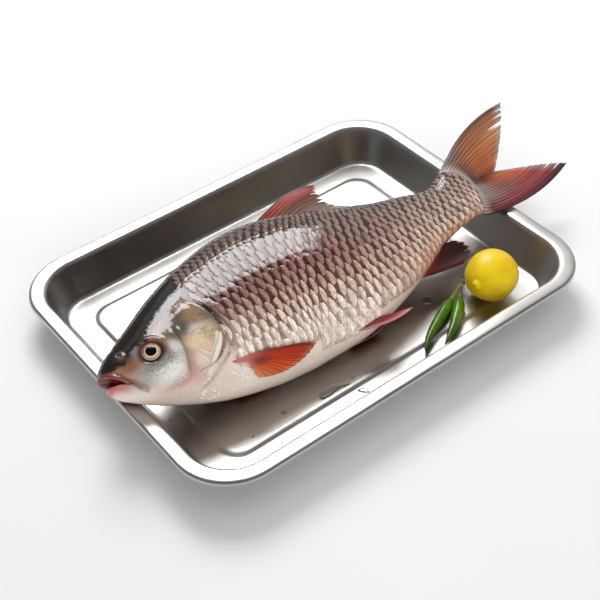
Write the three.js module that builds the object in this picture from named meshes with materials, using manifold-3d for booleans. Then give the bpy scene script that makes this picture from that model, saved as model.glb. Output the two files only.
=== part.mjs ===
// A whole rohu lying on its side in a stainless steel tray, with a lemon and two green chillies.
// Millimetres, +Z up. The head rests over one end of the tray and the tail over the other.

import * as THREE from 'three';
import { mergeVertices } from 'three/addons/utils/BufferGeometryUtils.js';
import Module from 'manifold-3d';

// ---- driving dimensions ---------------------------------------------------------------------

// The tray: a pressed sheet with a rounded rectangle for a rim and a raised panel in its floor.
const TRAY_LENGTH = 450;
const TRAY_WIDTH = 348;
const TRAY_HEIGHT = 40;
const TRAY_CORNER = 55;
const SHEET = 1.2;
const PANEL_RISE = 1.6;
const CORNER_STEPS = 6;

// What touches keeps this gap.
const GAP = 0.3;

// The fish, from snout to tail along its spine. At each place: how far the spine has swung across
// the tray, how high it is, half the depth from spine to back, and half the thickness.
const SNOUT_X = -234;
const NOSE_ROUND = 13;
const LEAN = THREE.MathUtils.degToRad(20);
const BELLY_FULLNESS = 0.13;
const BODY = [
  { at: 0, swing: -17, height: 64.5, depth: 12.6, width: 13 },
  { at: 20, swing: -24.5, height: 63, depth: 26.6, width: 18.5 },
  { at: 50, swing: -27, height: 59, depth: 43.3, width: 27 },
  { at: 90, swing: -24.5, height: 53.5, depth: 61, width: 34.5 },
  { at: 140, swing: -20, height: 49.2, depth: 74.8, width: 39.5 },
  { at: 190, swing: -18, height: 48, depth: 79.5, width: 42 },
  { at: 245, swing: -26.5, height: 48, depth: 72, width: 40 },
  { at: 300, swing: -30.5, height: 49, depth: 55, width: 32.5 },
  { at: 350, swing: -28.5, height: 51, depth: 37, width: 22.5 },
  { at: 390, swing: -29, height: 53.5, depth: 26, width: 15 },
  { at: 420, swing: -23.5, height: 55.5, depth: 30.8, width: 10.5 },
  { at: 446, swing: -22.5, height: 57, depth: 31.5, width: 1.9 },
];
const TAIL_END = BODY[BODY.length - 1].at;

// The gill cover: an ellipse on the side of the head, seen square on.
const GILL_CENTRE = 66;
const GILL_REACH = 38;
const GILL_HALF_DEPTH = 44;
const GILL_TOP = 25;
const GILL_STEP = 1.9;
const GILL_SLOT = 1.3;
const GILL_HINGE_AT = 72;
const GILL_HINGE = 0.9;
const SHOULDER_FOLD = 1.1;
const SHOULDER_FOLD_BEHIND = 8;

// Flattened balls set in the skin: where, how wide, how far they stand out and how deep they start.
const EYE = { at: 42, up: -0.5, radius: 8.6, proud: 2.4, sunk: 1.2 };
const EYE_SOCKET = { at: 42, up: -0.5, radius: 11, proud: 0.9, sunk: 1.4 };
const NOSTRIL = { at: 19.3, up: 9.9, radius: 2.4, proud: 0.9, sunk: 0.8 };

// The mouth line on the side of the snout, from the front to the corner.
const MOUTH = [
  { at: 1, up: -5 },
  { at: 8, up: -11 },
  { at: 14, up: -13.5 },
  { at: 21, up: -19 },
  { at: 27, up: -26 },
];
const MOUTH_GAP = 3.4;
const LIP_RADIUS = 2.4;
const UPPER_LIP_RAISE = 3.3;
const LOWER_LIP_RAISE = -3.9;

// The fins, seen square on to the fish's side, as [along the spine, up towards the back]. An edge is
// given by its two ends and the point that bends it. Webs end short of their rays by the split, and
// here and there by the tear as well. Roots are the thickness where the fin leaves the body.
const RAY_THICKNESS = 1.7;
const WEB_THICKNESS = 0.9;
const TAIL = {
  rays: 19,
  rows: 6,
  root: 2.6,
  split: 0.035,
  tear: 0.1,
  wave: 1.6,
  baseAt: 426,
  baseBow: 12,
  baseTop: 31,
  baseBottom: -33,
  upper: { tip: [535, 60.5], sag: -12, bend: 20.5 },
  fork: [468, 0.5],
  lower: { tip: [538.5, -36], sag: 4, bend: -21 },
};
const DORSAL = {
  rays: 15,
  rows: 4,
  root: 2.2,
  split: 0.05,
  tear: 0.12,
  wave: 1.2,
  baseFrom: 199,
  baseTo: 306,
  edge: [[293, 93], [272, 72], [323, 50]],
  bend: 24,
};
const ANAL = {
  rays: 9,
  rows: 4,
  root: 2.2,
  split: 0.06,
  wave: 1,
  baseFrom: 359,
  baseTo: 312,
  edge: [[376, -34], [392, -51], [369, -59]],
  bend: -4,
};
const PECTORAL = {
  rays: 12,
  rows: 4,
  root: 2,
  split: 0.05,
  base: [[95, -43], [95, -52]],
  bend: 2,
  upper: { edge: [[177, -69], [143, -79], [110, -65]], lift: 4.5 },
  under: { edge: [[160, -64], [138, -67], [112, -58]], lift: 3.2 },
};
const PELVIC = {
  rays: 8,
  rows: 4,
  root: 2,
  split: 0.06,
  base: [[232, -65], [237, -70]],
  upper: { edge: [[262, -65.5], [276, -69], [287.5, -72.5]], bend: -9, stand: [13, 15.5], bulge: 2 },
  under: { edge: [[254, -60], [264, -64], [272, -65]], bend: -2, lift: 4 },
};
// How far a folded fin's root is buried in the skin.
const ROOT_DEPTH = 1;

const LEMON = {
  centre: [144, -111, 28.5],
  radius: 25.2,
  halfLength: 26.5,
  nipple: 3.4,
  axis: [-0.96, -0.17, 0.21],
};

// Each chilli's middle line from tip to shoulder, then its stalk; x, y and height.
const CHILLIES = [
  {
    name: 'chilli_1',
    body: [[40, -133.5, 6.5], [46, -127, 7.6], [61, -117.5, 8.6], [84, -106.5, 8.9],
      [99, -99.4, 8.9], [106.5, -97, 8.9]],
    stalk: [[103, -98, 8.9], [113, -93.2, 10], [121, -90, 11], [129.5, -88.5, 11.4]],
    radius: 5.7,
  },
  {
    name: 'chilli_2',
    body: [[60, -137, 7.2], [68, -133, 8], [82, -125, 8.9], [97, -114.3, 8.9],
      [108.5, -104.7, 8.9], [115, -99.3, 8.6]],
    stalk: [[112, -102, 8.6], [119.5, -95, 6.6], [125, -90, 5.4], [139, -77.5, 5]],
    radius: 5.8,
  },
];

// ---- small helpers --------------------------------------------------------------------------

const clamp = THREE.MathUtils.clamp;
const lerp = THREE.MathUtils.lerp;
const smoothstep = THREE.MathUtils.smoothstep;
const vec = (x, y, z) => new THREE.Vector3(x, y, z);

// A smooth value through the stations, straight on past both ends.
function through(stations, key, at) {
  const last = stations.length - 1;
  let i = 0;
  while (i < last - 1 && at >= stations[i + 1].at) i += 1;
  const slope = (k) => {
    const before = stations[Math.max(k - 1, 0)];
    const after = stations[Math.min(k + 1, last)];
    return (after[key] - before[key]) / (after.at - before.at);
  };
  const a = stations[i];
  const b = stations[i + 1];
  const step = b.at - a.at;
  const t = (at - a.at) / step;
  if (t < 0) return a[key] + t * step * slope(i);
  if (t > 1) return b[key] + (t - 1) * step * slope(i + 1);
  const rise = t * t * (3 - 2 * t);
  const bend = t * (1 - t) * step * ((1 - t) * slope(i) - t * slope(i + 1));
  return lerp(a[key], b[key], rise) + bend;
}

function geometryFrom(points, triangles) {
  const geometry = new THREE.BufferGeometry();
  const numbers = points.flatMap((point) => point.toArray());
  geometry.setAttribute('position', new THREE.Float32BufferAttribute(numbers, 3));
  geometry.setIndex(triangles);
  return geometry;
}

// A closed skin over rings of points, with a point at each end. Rings run anticlockwise seen from
// the last end.
function loft(rings, firstPoint, lastPoint) {
  const count = rings[0].length;
  const points = [firstPoint, ...rings.flat(), lastPoint];
  const triangles = [];
  for (let j = 0; j < count; j += 1) {
    const next = (j + 1) % count;
    triangles.push(0, 1 + next, 1 + j);
    for (let i = 0; i < rings.length - 1; i += 1) {
      const here = 1 + i * count;
      const there = here + count;
      triangles.push(here + j, here + next, there + next, here + j, there + next, there + j);
    }
    const end = 1 + (rings.length - 1) * count;
    triangles.push(points.length - 1, end + j, end + next);
  }
  return geometryFrom(points, triangles);
}

// A thin closed solid between two faces that are split alike. face(i, j, side) gives a point.
function sheetSolid(columns, rows, face) {
  const points = [];
  for (const side of [1, -1]) {
    for (let i = 0; i <= columns; i += 1) {
      for (let j = 0; j <= rows; j += 1) points.push(face(i, j, side));
    }
  }
  const half = points.length / 2;
  const index = (i, j) => i * (rows + 1) + j;
  const triangles = [];
  for (let i = 0; i < columns; i += 1) {
    for (let j = 0; j < rows; j += 1) {
      const [a, b, c, d] = [index(i, j), index(i + 1, j), index(i + 1, j + 1), index(i, j + 1)];
      triangles.push(a, b, c, a, c, d, half + a, half + c, half + b, half + a, half + d, half + c);
    }
  }
  const wall = (a, b) => triangles.push(a, half + b, b, a, half + a, half + b);
  for (let i = 0; i < columns; i += 1) {
    wall(index(i, 0), index(i + 1, 0));
    wall(index(i + 1, rows), index(i, rows));
  }
  for (let j = 0; j < rows; j += 1) {
    wall(index(columns, j), index(columns, j + 1));
    wall(index(0, j + 1), index(0, j));
  }
  return geometryFrom(points, triangles);
}

// A round tube along a path of points, whose radius may change; both ends close to a point.
function roundTube(path, radiusAt, sides) {
  const last = path.length - 1;
  let across = vec(0, 0, 1);
  const rings = path.map((centre, i) => {
    const way = path[Math.min(i + 1, last)].clone().sub(path[Math.max(i - 1, 0)]).normalize();
    across = across.clone().addScaledVector(way, -across.dot(way)).normalize();
    const other = way.clone().cross(across);
    return Array.from({ length: sides }, (_, k) => {
      const angle = (2 * Math.PI * k) / sides;
      const reach = radiusAt(i / last);
      return centre.clone().addScaledVector(across, Math.cos(angle) * reach)
        .addScaledVector(other, Math.sin(angle) * reach);
    });
  });
  return loft(rings.slice(1, -1), path[0], path[last]);
}

const wasm = await Module();
wasm.setup();

function toManifold(geometry) {
  const bare = geometry.clone();
  bare.deleteAttribute('normal');
  bare.deleteAttribute('uv');
  const merged = mergeVertices(bare, 1e-4);
  return new wasm.Manifold(new wasm.Mesh({
    numProp: 3,
    vertProperties: new Float32Array(merged.attributes.position.array),
    triVerts: new Uint32Array(merged.index.array),
  }));
}

// Joining can seal a hollow or leave a crumb; only the one outer skin is kept.
function largestPiece(manifold) {
  const pieces = manifold.decompose();
  return pieces.reduce((best, piece) => (piece.volume() > best.volume() ? piece : best));
}

// Slivers thinner than this are merged into their neighbours after a cut or join.
const SLIVER = 0.03;
function toGeometry(manifold) {
  const mesh = largestPiece(manifold.simplify(SLIVER)).getMesh();
  const geometry = new THREE.BufferGeometry();
  const numbers = new Float32Array(mesh.vertProperties);
  geometry.setAttribute('position', new THREE.BufferAttribute(numbers, 3));
  geometry.setIndex(new THREE.BufferAttribute(new Uint32Array(mesh.triVerts), 1));
  return geometry;
}

const group = new THREE.Group();

function addPiece(name, geometry, color, roughness, metalness) {
  geometry.computeVertexNormals();
  const material = new THREE.MeshStandardMaterial({ color, roughness, metalness });
  const piece = new THREE.Mesh(geometry, material);
  piece.name = name;
  group.add(piece);
}

// ---- the tray -------------------------------------------------------------------------------

const PANEL_TOP = SHEET + PANEL_RISE;

// The upper face from the panel's edge out to the turned-down lip: inset from the outer edge, height.
const TRAY_PROFILE = [
  [56, PANEL_TOP],
  [54.6, PANEL_TOP - 0.3],
  [52.4, SHEET + 0.3],
  [51, SHEET],
  [33.5, SHEET],
  [30.3, SHEET + 0.7],
  [28.2, SHEET + 2.4],
  [27, SHEET + 5],
  [16.6, TRAY_HEIGHT - 4.4],
  [15.3, TRAY_HEIGHT - 2.1],
  [13.5, TRAY_HEIGHT - 0.6],
  [11, TRAY_HEIGHT],
  [2.6, TRAY_HEIGHT],
  [0.8, TRAY_HEIGHT - 0.8],
  [0, TRAY_HEIGHT - 2.6],
  [0, TRAY_HEIGHT - 5],
];

function roundedRectangle(inset, height) {
  const radius = Math.max(TRAY_CORNER - 0.8 * inset, 20);
  const x = TRAY_LENGTH / 2 - inset - radius;
  const y = TRAY_WIDTH / 2 - inset - radius;
  const ring = [];
  for (const [sx, sy, start] of [[1, 1, 0], [-1, 1, 90], [-1, -1, 180], [1, -1, 270]]) {
    for (let k = 0; k <= CORNER_STEPS; k += 1) {
      const angle = THREE.MathUtils.degToRad(start + (90 * k) / CORNER_STEPS);
      ring.push(vec(sx * x + radius * Math.cos(angle), sy * y + radius * Math.sin(angle), height));
    }
  }
  return ring;
}

// The underside: the same profile moved by the sheet's thickness, square to it.
function underside(profile) {
  return profile.map(([inset, height], i) => {
    const [insetBefore, heightBefore] = profile[Math.max(i - 1, 0)];
    const [insetAfter, heightAfter] = profile[Math.min(i + 1, profile.length - 1)];
    const out = insetBefore - insetAfter;
    const up = heightAfter - heightBefore;
    const length = Math.hypot(out, up);
    return [inset - (SHEET * up) / length, height - (SHEET * out) / length];
  });
}

function trayGeometry() {
  const faces = [...underside(TRAY_PROFILE), ...TRAY_PROFILE.toReversed()];
  const rings = faces.map(([inset, height]) => roundedRectangle(inset, height));
  return loft(rings, vec(0, 0, PANEL_TOP - SHEET), vec(0, 0, PANEL_TOP));
}

// ---- the fish's body ------------------------------------------------------------------------

function spine(at) {
  return vec(SNOUT_X + at, through(BODY, 'swing', at), through(BODY, 'height', at));
}

// A point given along the spine, up towards the back, and out through the upper flank.
function fishPoint(at, up, out) {
  const way = spine(at + 0.5).sub(spine(at - 0.5)).normalize();
  const flank = vec(0, 0, 1).addScaledVector(way, -way.z).normalize();
  const back = flank.clone().cross(way);
  const point = spine(at);
  point.addScaledVector(back, up * Math.cos(LEAN) - out * Math.sin(LEAN));
  point.addScaledVector(flank, up * Math.sin(LEAN) + out * Math.cos(LEAN));
  return point;
}

function section(at) {
  const blunt = clamp(1 - at / NOSE_ROUND, 0, 1);
  const round = Math.sqrt(1 - blunt * blunt);
  return { depth: through(BODY, 'depth', at) * round, width: through(BODY, 'width', at) * round };
}

// A point on the skin: angle 0 is the ridge of the back, a quarter turn the upper flank.
function skinPoint(at, angle, lift = 0) {
  const { depth, width } = section(at);
  const up = (depth + lift) * Math.cos(angle);
  const out = (width + lift) * Math.sin(angle) * (1 - BELLY_FULLNESS * Math.cos(angle));
  return fishPoint(at, up, out);
}

// The angle at which the skin stands so far up towards the back, on the upper or lower flank.
function skinAngle(at, up, side = 1, lift = 0) {
  return side * Math.acos(clamp(up / (section(at).depth + lift), -1, 1));
}

// Where the gill cover ends along the spine, at each angle round the body.
const GILL_EDGE = GILL_CENTRE + GILL_REACH;
function gillEdge(angle) {
  const up = section(GILL_EDGE).depth * Math.cos(angle);
  const held = clamp(up, -GILL_HALF_DEPTH, GILL_TOP) / GILL_HALF_DEPTH;
  return GILL_CENTRE + GILL_REACH * Math.sqrt(1 - held * held);
}

// Grid lines follow the gill cover's edge, and are straight again before the eye and past the fin.
const GRID_STRAIGHT_BEFORE = 48;
const GRID_STRAIGHT_AFTER = 165;
function gridToSpine(line, angle) {
  const edge = gillEdge(angle);
  if (line <= GRID_STRAIGHT_BEFORE || line >= GRID_STRAIGHT_AFTER) return line;
  if (line <= GILL_EDGE) {
    const share = (line - GRID_STRAIGHT_BEFORE) / (GILL_EDGE - GRID_STRAIGHT_BEFORE);
    return lerp(GRID_STRAIGHT_BEFORE, edge, share);
  }
  return lerp(edge, GRID_STRAIGHT_AFTER, (line - GILL_EDGE) / (GRID_STRAIGHT_AFTER - GILL_EDGE));
}

// A bump one high, centred on zero, that dies away over so many millimetres either side.
const bump = (x, spread) => Math.exp(-((x / spread) ** 2));

// The relief of the head: the gill cover stands over a slot, with a fold of skin behind it.
function relief(line, angle) {
  const up = section(GILL_EDGE).depth * Math.cos(angle);
  const fade = 1 - smoothstep(up, GILL_TOP - 4, GILL_TOP + 12);
  const cover = GILL_STEP * smoothstep(line, GILL_HINGE_AT - 2, GILL_EDGE - 6);
  const hinge = -GILL_HINGE * bump(line - GILL_HINGE_AT, 2.6);
  const behind = line - GILL_EDGE;
  const fold = SHOULDER_FOLD * bump(behind - SHOULDER_FOLD_BEHIND, 3.4) - GILL_SLOT * bump(behind, 3);
  return fade * (line < GILL_EDGE ? cover + hinge : fold);
}

// The height of the tray's upper face under a point, by its distance in from the tray's edge.
function trayTop(point) {
  const inset = Math.min(TRAY_LENGTH / 2 - Math.abs(point.x), TRAY_WIDTH / 2 - Math.abs(point.y));
  if (inset < 0) return -Infinity;
  const inner = TRAY_PROFILE.findLastIndex(([reach]) => reach >= inset);
  if (inner < 0) return PANEL_TOP;
  const [reachA, heightA] = TRAY_PROFILE[inner];
  const [reachB, heightB] = TRAY_PROFILE[Math.min(inner + 1, TRAY_PROFILE.length - 1)];
  return reachA === reachB ? heightA : lerp(heightA, heightB, (reachA - inset) / (reachA - reachB));
}

// Flesh that would sink into the tray is pressed flat on it.
function settle(point) {
  point.z = Math.max(point.z, trayTop(point) + GAP);
  return point;
}

function bodyGeometry() {
  const lines = [0.6, 2, 4.5, 8];
  for (let at = 12; at < GRID_STRAIGHT_BEFORE; at += 5) lines.push(at);
  for (let at = GRID_STRAIGHT_BEFORE; at < GILL_EDGE - 3; at += 4.8) lines.push(at);
  lines.push(GILL_EDGE - 0.5, GILL_EDGE + 0.5);
  for (let at = GILL_EDGE + 3.5; at < 125; at += 3.5) lines.push(at);
  for (let at = 128; at < 400; at += 12) lines.push(at);
  for (let at = 400; at < TAIL_END; at += 8) lines.push(at);
  const around = 40;
  const rings = lines.map((line) => Array.from({ length: around }, (_, k) => {
    const angle = (2 * Math.PI * k) / around;
    return settle(skinPoint(gridToSpine(line, angle), angle, relief(line, angle)));
  }));
  return loft(rings, spine(0), spine(TAIL_END));
}

// ---- mouth, lips, eyes and nostrils ---------------------------------------------------------

// The mouth line round the snout, from one corner to the other, raised by so much.
function mouthPath(raise, lift, steps) {
  return Array.from({ length: 2 * steps + 1 }, (_, k) => {
    const t = Math.abs(k - steps) / steps;
    const at = lerp(MOUTH[0].at, MOUTH[MOUTH.length - 1].at, t);
    const side = k < steps ? -1 : 1;
    const up = through(MOUTH, 'up', at) + raise * (1 - 0.75 * t);
    return skinPoint(at, skinAngle(at, up, side), lift);
  });
}

function lip(raise) {
  const radiusAt = (t) => LIP_RADIUS * (0.55 + 0.45 * Math.sin(Math.PI * t));
  return roundTube(mouthPath(raise, -0.4, 9), radiusAt, 8);
}

// The gap between the lips: a slot right across the snout, which thins to the corners.
function mouthGap() {
  const steps = 6;
  const front = -6;
  const corner = MOUTH[MOUTH.length - 1].at;
  return sheetSolid(steps, 1, (i, j, side) => {
    const at = lerp(front, corner, i / steps);
    const half = 0.5 * MOUTH_GAP * (1 - 0.9 * (i / steps) ** 2);
    return fishPoint(at, through(MOUTH, 'up', at) + side * half, j === 0 ? 40 : -40);
  });
}

// A flattened ball set into the skin, facing out of it.
function button({ at, up, radius, proud, sunk }, side, segments) {
  const angle = skinAngle(at, up, side);
  const centre = skinPoint(at, angle);
  const along = skinPoint(at + 1, angle).sub(skinPoint(at - 1, angle)).normalize();
  const round = skinPoint(at, angle + 0.02).sub(skinPoint(at, angle - 0.02)).normalize();
  const outward = along.clone().cross(round).normalize();
  if (outward.dot(centre.clone().sub(spine(at))) < 0) outward.negate();
  const across = outward.clone().cross(along);
  centre.addScaledVector(outward, -sunk);
  const placing = new THREE.Matrix4().makeBasis(
    along.multiplyScalar(radius),
    across.multiplyScalar(radius),
    outward.multiplyScalar(sunk + proud),
  );
  placing.setPosition(centre);
  return new THREE.SphereGeometry(1, segments, segments / 2).applyMatrix4(placing);
}

// ---- fins -----------------------------------------------------------------------------------

function quadratic(a, b, c, t) {
  return a.map((value, k) => (1 - t) ** 2 * value + 2 * t * (1 - t) * b[k] + t * t * c[k]);
}

// How far the roots of the fins on the back and belly start inside the body.
const BASE_DEPTH = 5;

// A fin of rays and webs. base(s), bow(s) and edge(s) give the ray's root, its control point and
// its end; cut(s) is the share a web is short by; place() turns a point of the fin, and how far it
// stands off it, into space.
function fin({ rays, rows, root, base, bow, edge, cut, place }) {
  const columns = 2 * (rays - 1);
  return sheetSolid(columns, rows, (i, j, side) => {
    const s = i / columns;
    const r = j / rows;
    const onRay = i % 2 === 0;
    const reach = onRay ? r : r * (1 - cut(s) * r);
    const point = quadratic(base(s), bow(s), edge(s), reach);
    const outer = onRay ? RAY_THICKNESS : WEB_THICKNESS;
    const thick = lerp(root, outer, Math.min(1, 3 * r)) * (1 - 0.35 * r);
    return place(point, (side * thick) / 2, s, r);
  });
}

// Fins on the fish's middle plane are given along the spine and up, with a slow wave across them.
const onMiddle = (wave) => ([at, up], off, s, r) => fishPoint(at, up, off + wave * r * Math.sin(9 * s));

// A ray's control point: the middle of its root and end, pushed up or down by the bend.
const bowBetween = (base, edge, bend) => (s) => {
  const [from, to] = [base(s), edge(s)];
  return [(from[0] + to[0]) / 2, (from[1] + to[1]) / 2 + bend(s)];
};

function tailFin() {
  const { upper, lower, fork, split, tear } = TAIL;
  // How far towards the tip of its own lobe, from the fork, a ray ends.
  const outward = (s) => Math.abs(1 - 2 * s);
  const lobe = (s) => (s < 0.5 ? upper : lower);
  const base = (s) => [
    TAIL.baseAt + TAIL.baseBow * (1 - outward(s) ** 2),
    lerp(TAIL.baseTop, TAIL.baseBottom, s),
  ];
  const edge = (s) => {
    const t = outward(s);
    const { tip, sag } = lobe(s);
    return [lerp(fork[0], tip[0], t), lerp(fork[1], tip[1], t) + sag * t * (1 - t)];
  };
  const bow = bowBetween(base, edge, (s) => lobe(s).bend * outward(s) ** 1.6);
  const cut = (s) => split + tear * Math.max(0, Math.sin(23 * s + 0.6)) ** 6;
  return fin({ ...TAIL, base, bow, edge, cut, place: onMiddle(TAIL.wave) });
}

function dorsalFin() {
  const base = (s) => {
    const at = lerp(DORSAL.baseFrom, DORSAL.baseTo, s);
    return [at, section(at).depth - BASE_DEPTH];
  };
  const edge = (s) => quadratic(...DORSAL.edge, s);
  const bow = bowBetween(base, edge, (s) => DORSAL.bend * (1 - s) ** 2);
  const cut = (s) => DORSAL.split + DORSAL.tear * Math.max(0, Math.sin(31 * s)) ** 4;
  return fin({ ...DORSAL, base, bow, edge, cut, place: onMiddle(DORSAL.wave) });
}

function analFin() {
  const base = (s) => {
    const at = lerp(ANAL.baseFrom, ANAL.baseTo, s);
    return [at, BASE_DEPTH - section(at).depth];
  };
  const edge = (s) => quadratic(...ANAL.edge, s);
  const bow = bowBetween(base, edge, (s) => ANAL.bend * s);
  return fin({ ...ANAL, base, bow, edge, cut: () => ANAL.split, place: onMiddle(ANAL.wave) });
}

// Lays a point of a paired fin on the skin: its root is buried, the rest lifts clear.
const onSkin = (side, height) => ([at, up], off, s, r) => {
  const lift = height * Math.sin(Math.min(1, 1.6 * r) * (Math.PI / 2)) - ROOT_DEPTH;
  return settle(skinPoint(at, skinAngle(at, up, side, lift), lift + side * off));
};

// A pectoral fin lies back along the flank, a little clear of it past its root.
function pectoralFin(side) {
  const laid = side > 0 ? PECTORAL.upper : PECTORAL.under;
  const base = (s) => PECTORAL.base[0].map((value, k) => lerp(value, PECTORAL.base[1][k], s));
  const edge = (s) => quadratic(...laid.edge, s);
  const bow = bowBetween(base, edge, (s) => PECTORAL.bend * (1 - s));
  return fin({ ...PECTORAL, base, bow, edge, cut: () => PECTORAL.split, place: onSkin(side, laid.lift) });
}

// A pelvic fin lies back along the belly: the upper one stands off it, the lower is folded to it.
function pelvicFin(side) {
  const laid = side > 0 ? PELVIC.upper : PELVIC.under;
  const base = (s) => PELVIC.base[0].map((value, k) => lerp(value, PELVIC.base[1][k], s));
  const edge = (s) => quadratic(...laid.edge, s);
  const bow = bowBetween(base, edge, (s) => laid.bend * s);
  const standing = ([at, up], off, s, r) => (
    fishPoint(at, up, lerp(...laid.stand, s) + laid.bulge * Math.sin(Math.PI * r) + off)
  );
  const place = side > 0 ? standing : onSkin(side, laid.lift);
  return fin({ ...PELVIC, base, bow, edge, cut: () => PELVIC.split, place });
}

function fishGeometry() {
  const growths = [tailFin(), dorsalFin(), analFin()];
  for (const side of [1, -1]) {
    growths.push(button(EYE_SOCKET, side, 16), button(EYE, side, 14), button(NOSTRIL, side, 8));
    growths.push(pectoralFin(side), pelvicFin(side));
  }
  let fish = toManifold(bodyGeometry());
  for (const raise of [UPPER_LIP_RAISE, LOWER_LIP_RAISE]) fish = fish.add(toManifold(lip(raise)));
  fish = fish.subtract(toManifold(mouthGap()));
  for (const growth of growths) fish = fish.add(toManifold(growth));
  return toGeometry(fish);
}

// ---- the lemon ------------------------------------------------------------------------------

function lemonGeometry() {
  const axis = vec(...LEMON.axis).normalize();
  const centre = vec(...LEMON.centre);
  const steps = 16;
  const nipple = (s) => LEMON.nipple * smoothstep(s, 0.84, 1);
  const path = Array.from({ length: steps + 1 }, (_, k) => {
    const s = -Math.cos((Math.PI * k) / steps);
    return centre.clone().addScaledVector(axis, s * LEMON.halfLength + nipple(s));
  });
  const radiusAt = (t) => LEMON.radius * Math.sin(Math.PI * t) ** 0.96;
  return roundTube(path, radiusAt, 20);
}

// ---- the chillies ---------------------------------------------------------------------------

// A smooth line through the points, cut into even steps.
function smoothLine(points, steps) {
  return new THREE.CatmullRomCurve3(points.map((point) => vec(...point))).getSpacedPoints(steps);
}

function chilliGeometry({ body, stalk, radius }) {
  const flesh = (t) => radius * (1 - (1 - t) ** 2.1) ** 0.75 * (1 - 0.55 * smoothstep(t, 0.8, 1));
  const stem = (t) => 1.5 + 0.7 * smoothstep(t, 0.85, 1) + 1.4 * (1 - smoothstep(t, 0, 0.3));
  const pod = toManifold(roundTube(smoothLine(body, 14), flesh, 12));
  return toGeometry(pod.add(toManifold(roundTube(smoothLine(stalk, 9), stem, 8))));
}

// ---- the whole ------------------------------------------------------------------------------

addPiece('tray', trayGeometry(), 0xb9bcbd, 0.22, 1);
addPiece('rohu_fish', fishGeometry(), 0x8c7a72, 0.35, 0);
addPiece('lemon', lemonGeometry(), 0xf0c80f, 0.4, 0);
for (const chilli of CHILLIES) addPiece(chilli.name, chilliGeometry(chilli), 0x3f7a1c, 0.25, 0);

// The origin is under the middle of the whole thing's box, on the table.
group.updateMatrixWorld(true);
const box = new THREE.Box3().setFromObject(group);
group.position.set(-(box.min.x + box.max.x) / 2, -(box.min.y + box.max.y) / 2, -box.min.z);
group.updateMatrixWorld(true);

export default group;
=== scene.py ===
"""A whole rohu lying across a steel tray, with a lemon and two green chillies, in soft studio light."""

import math

import bpy
import numpy as np
from mathutils import Matrix, Vector


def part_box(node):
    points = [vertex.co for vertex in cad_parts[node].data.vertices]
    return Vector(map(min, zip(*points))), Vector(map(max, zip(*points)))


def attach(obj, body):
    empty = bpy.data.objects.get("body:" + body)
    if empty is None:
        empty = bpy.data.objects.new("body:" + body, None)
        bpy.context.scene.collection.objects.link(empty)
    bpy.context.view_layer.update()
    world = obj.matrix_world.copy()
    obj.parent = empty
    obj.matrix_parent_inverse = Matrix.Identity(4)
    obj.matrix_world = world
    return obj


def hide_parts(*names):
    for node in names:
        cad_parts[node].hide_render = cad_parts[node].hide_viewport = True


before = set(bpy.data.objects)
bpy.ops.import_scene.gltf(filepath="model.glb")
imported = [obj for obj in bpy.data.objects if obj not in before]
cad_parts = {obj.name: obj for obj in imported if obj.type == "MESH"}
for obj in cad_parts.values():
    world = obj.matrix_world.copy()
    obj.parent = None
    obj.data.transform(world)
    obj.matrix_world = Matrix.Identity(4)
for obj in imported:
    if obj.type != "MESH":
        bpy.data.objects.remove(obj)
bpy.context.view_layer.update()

# ---- sizes, in millimetres about the middle of the tray ----------------------------------------

MM = 0.001
TRAY_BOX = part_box("tray")
TRAY_MIDDLE = (TRAY_BOX[0] + TRAY_BOX[1]) / 2
SHIFT = np.array([TRAY_MIDDLE.x, TRAY_MIDDLE.y, 0.0])
TRAY_LENGTH, TRAY_WIDTH, TRAY_HEIGHT = (TRAY_BOX[1] - TRAY_BOX[0]) / MM
TRAY_CORNER = 55
SHEET = 1.2
PANEL_TOP = 2.8
GAP = 0.3
NO_TRAY = -1e3

# The fish from snout to tail: place along the spine, swing across the tray, height, half depth
# from spine to back, half thickness.
SNOUT_X = -234
NOSE_ROUND = 13
LEAN = math.radians(20)
BELLY_FULLNESS = 0.13
BODY = np.array([
    [0, -17, 64.5, 12.6, 13],
    [20, -24.5, 63, 26.6, 18.5],
    [50, -27, 59, 43.3, 27],
    [90, -24.5, 53.5, 61, 34.5],
    [140, -20, 49.2, 74.8, 39.5],
    [190, -18, 48, 79.5, 42],
    [245, -26.5, 48, 72, 40],
    [300, -30.5, 49, 55, 32.5],
    [350, -28.5, 51, 37, 22.5],
    [390, -29, 53.5, 26, 15],
    [420, -23.5, 55.5, 30.8, 10.5],
    [446, -22.5, 57, 31.5, 1.9],
])
SWING, HEIGHT, DEPTH, WIDTH = 1, 2, 3, 4
TAIL_END = 446

# The gill cover: an ellipse on the side of the head.
GILL_CENTRE = 66
GILL_REACH = 38
GILL_HALF_DEPTH = 44
GILL_TOP = 25
GILL_STEP = 1.9
GILL_EDGE = GILL_CENTRE + GILL_REACH

EYE_AT, EYE_UP, EYE_RADIUS, EYE_PROUD = 42, -0.5, 8.6, 2.4
NOSTRIL_AT, NOSTRIL_UP = 19.3, 9.9

# The mouth's parting: place along the spine, height from the spine towards the back.
MOUTH = np.array([[1, -5], [8, -11], [14, -13.5], [21, -19], [27, -26]])
MOUTH_GAP = 4.4

# Folds on the side of the head: place along the spine, distance round the skin from mid flank.
JAW_FOLD = np.array([[12, -4], [16, -9], [20, -16], [24, -23], [27.5, -29]])
CHEEK_EDGE = np.array([[69, 11], [68, 2], [67, -5], [66, -13], [63, -25], [59, -37]])
GILL_FOLD = np.array([[104, -10], [100, -16], [93, -22.5], [80, -33], [68, -44]])
THROAT_FOLD = np.array([[108, -2], [107.5, -14], [105, -27], [100, -35], [88, -41.5], [75, -48],
                        [60, -55]])

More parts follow.
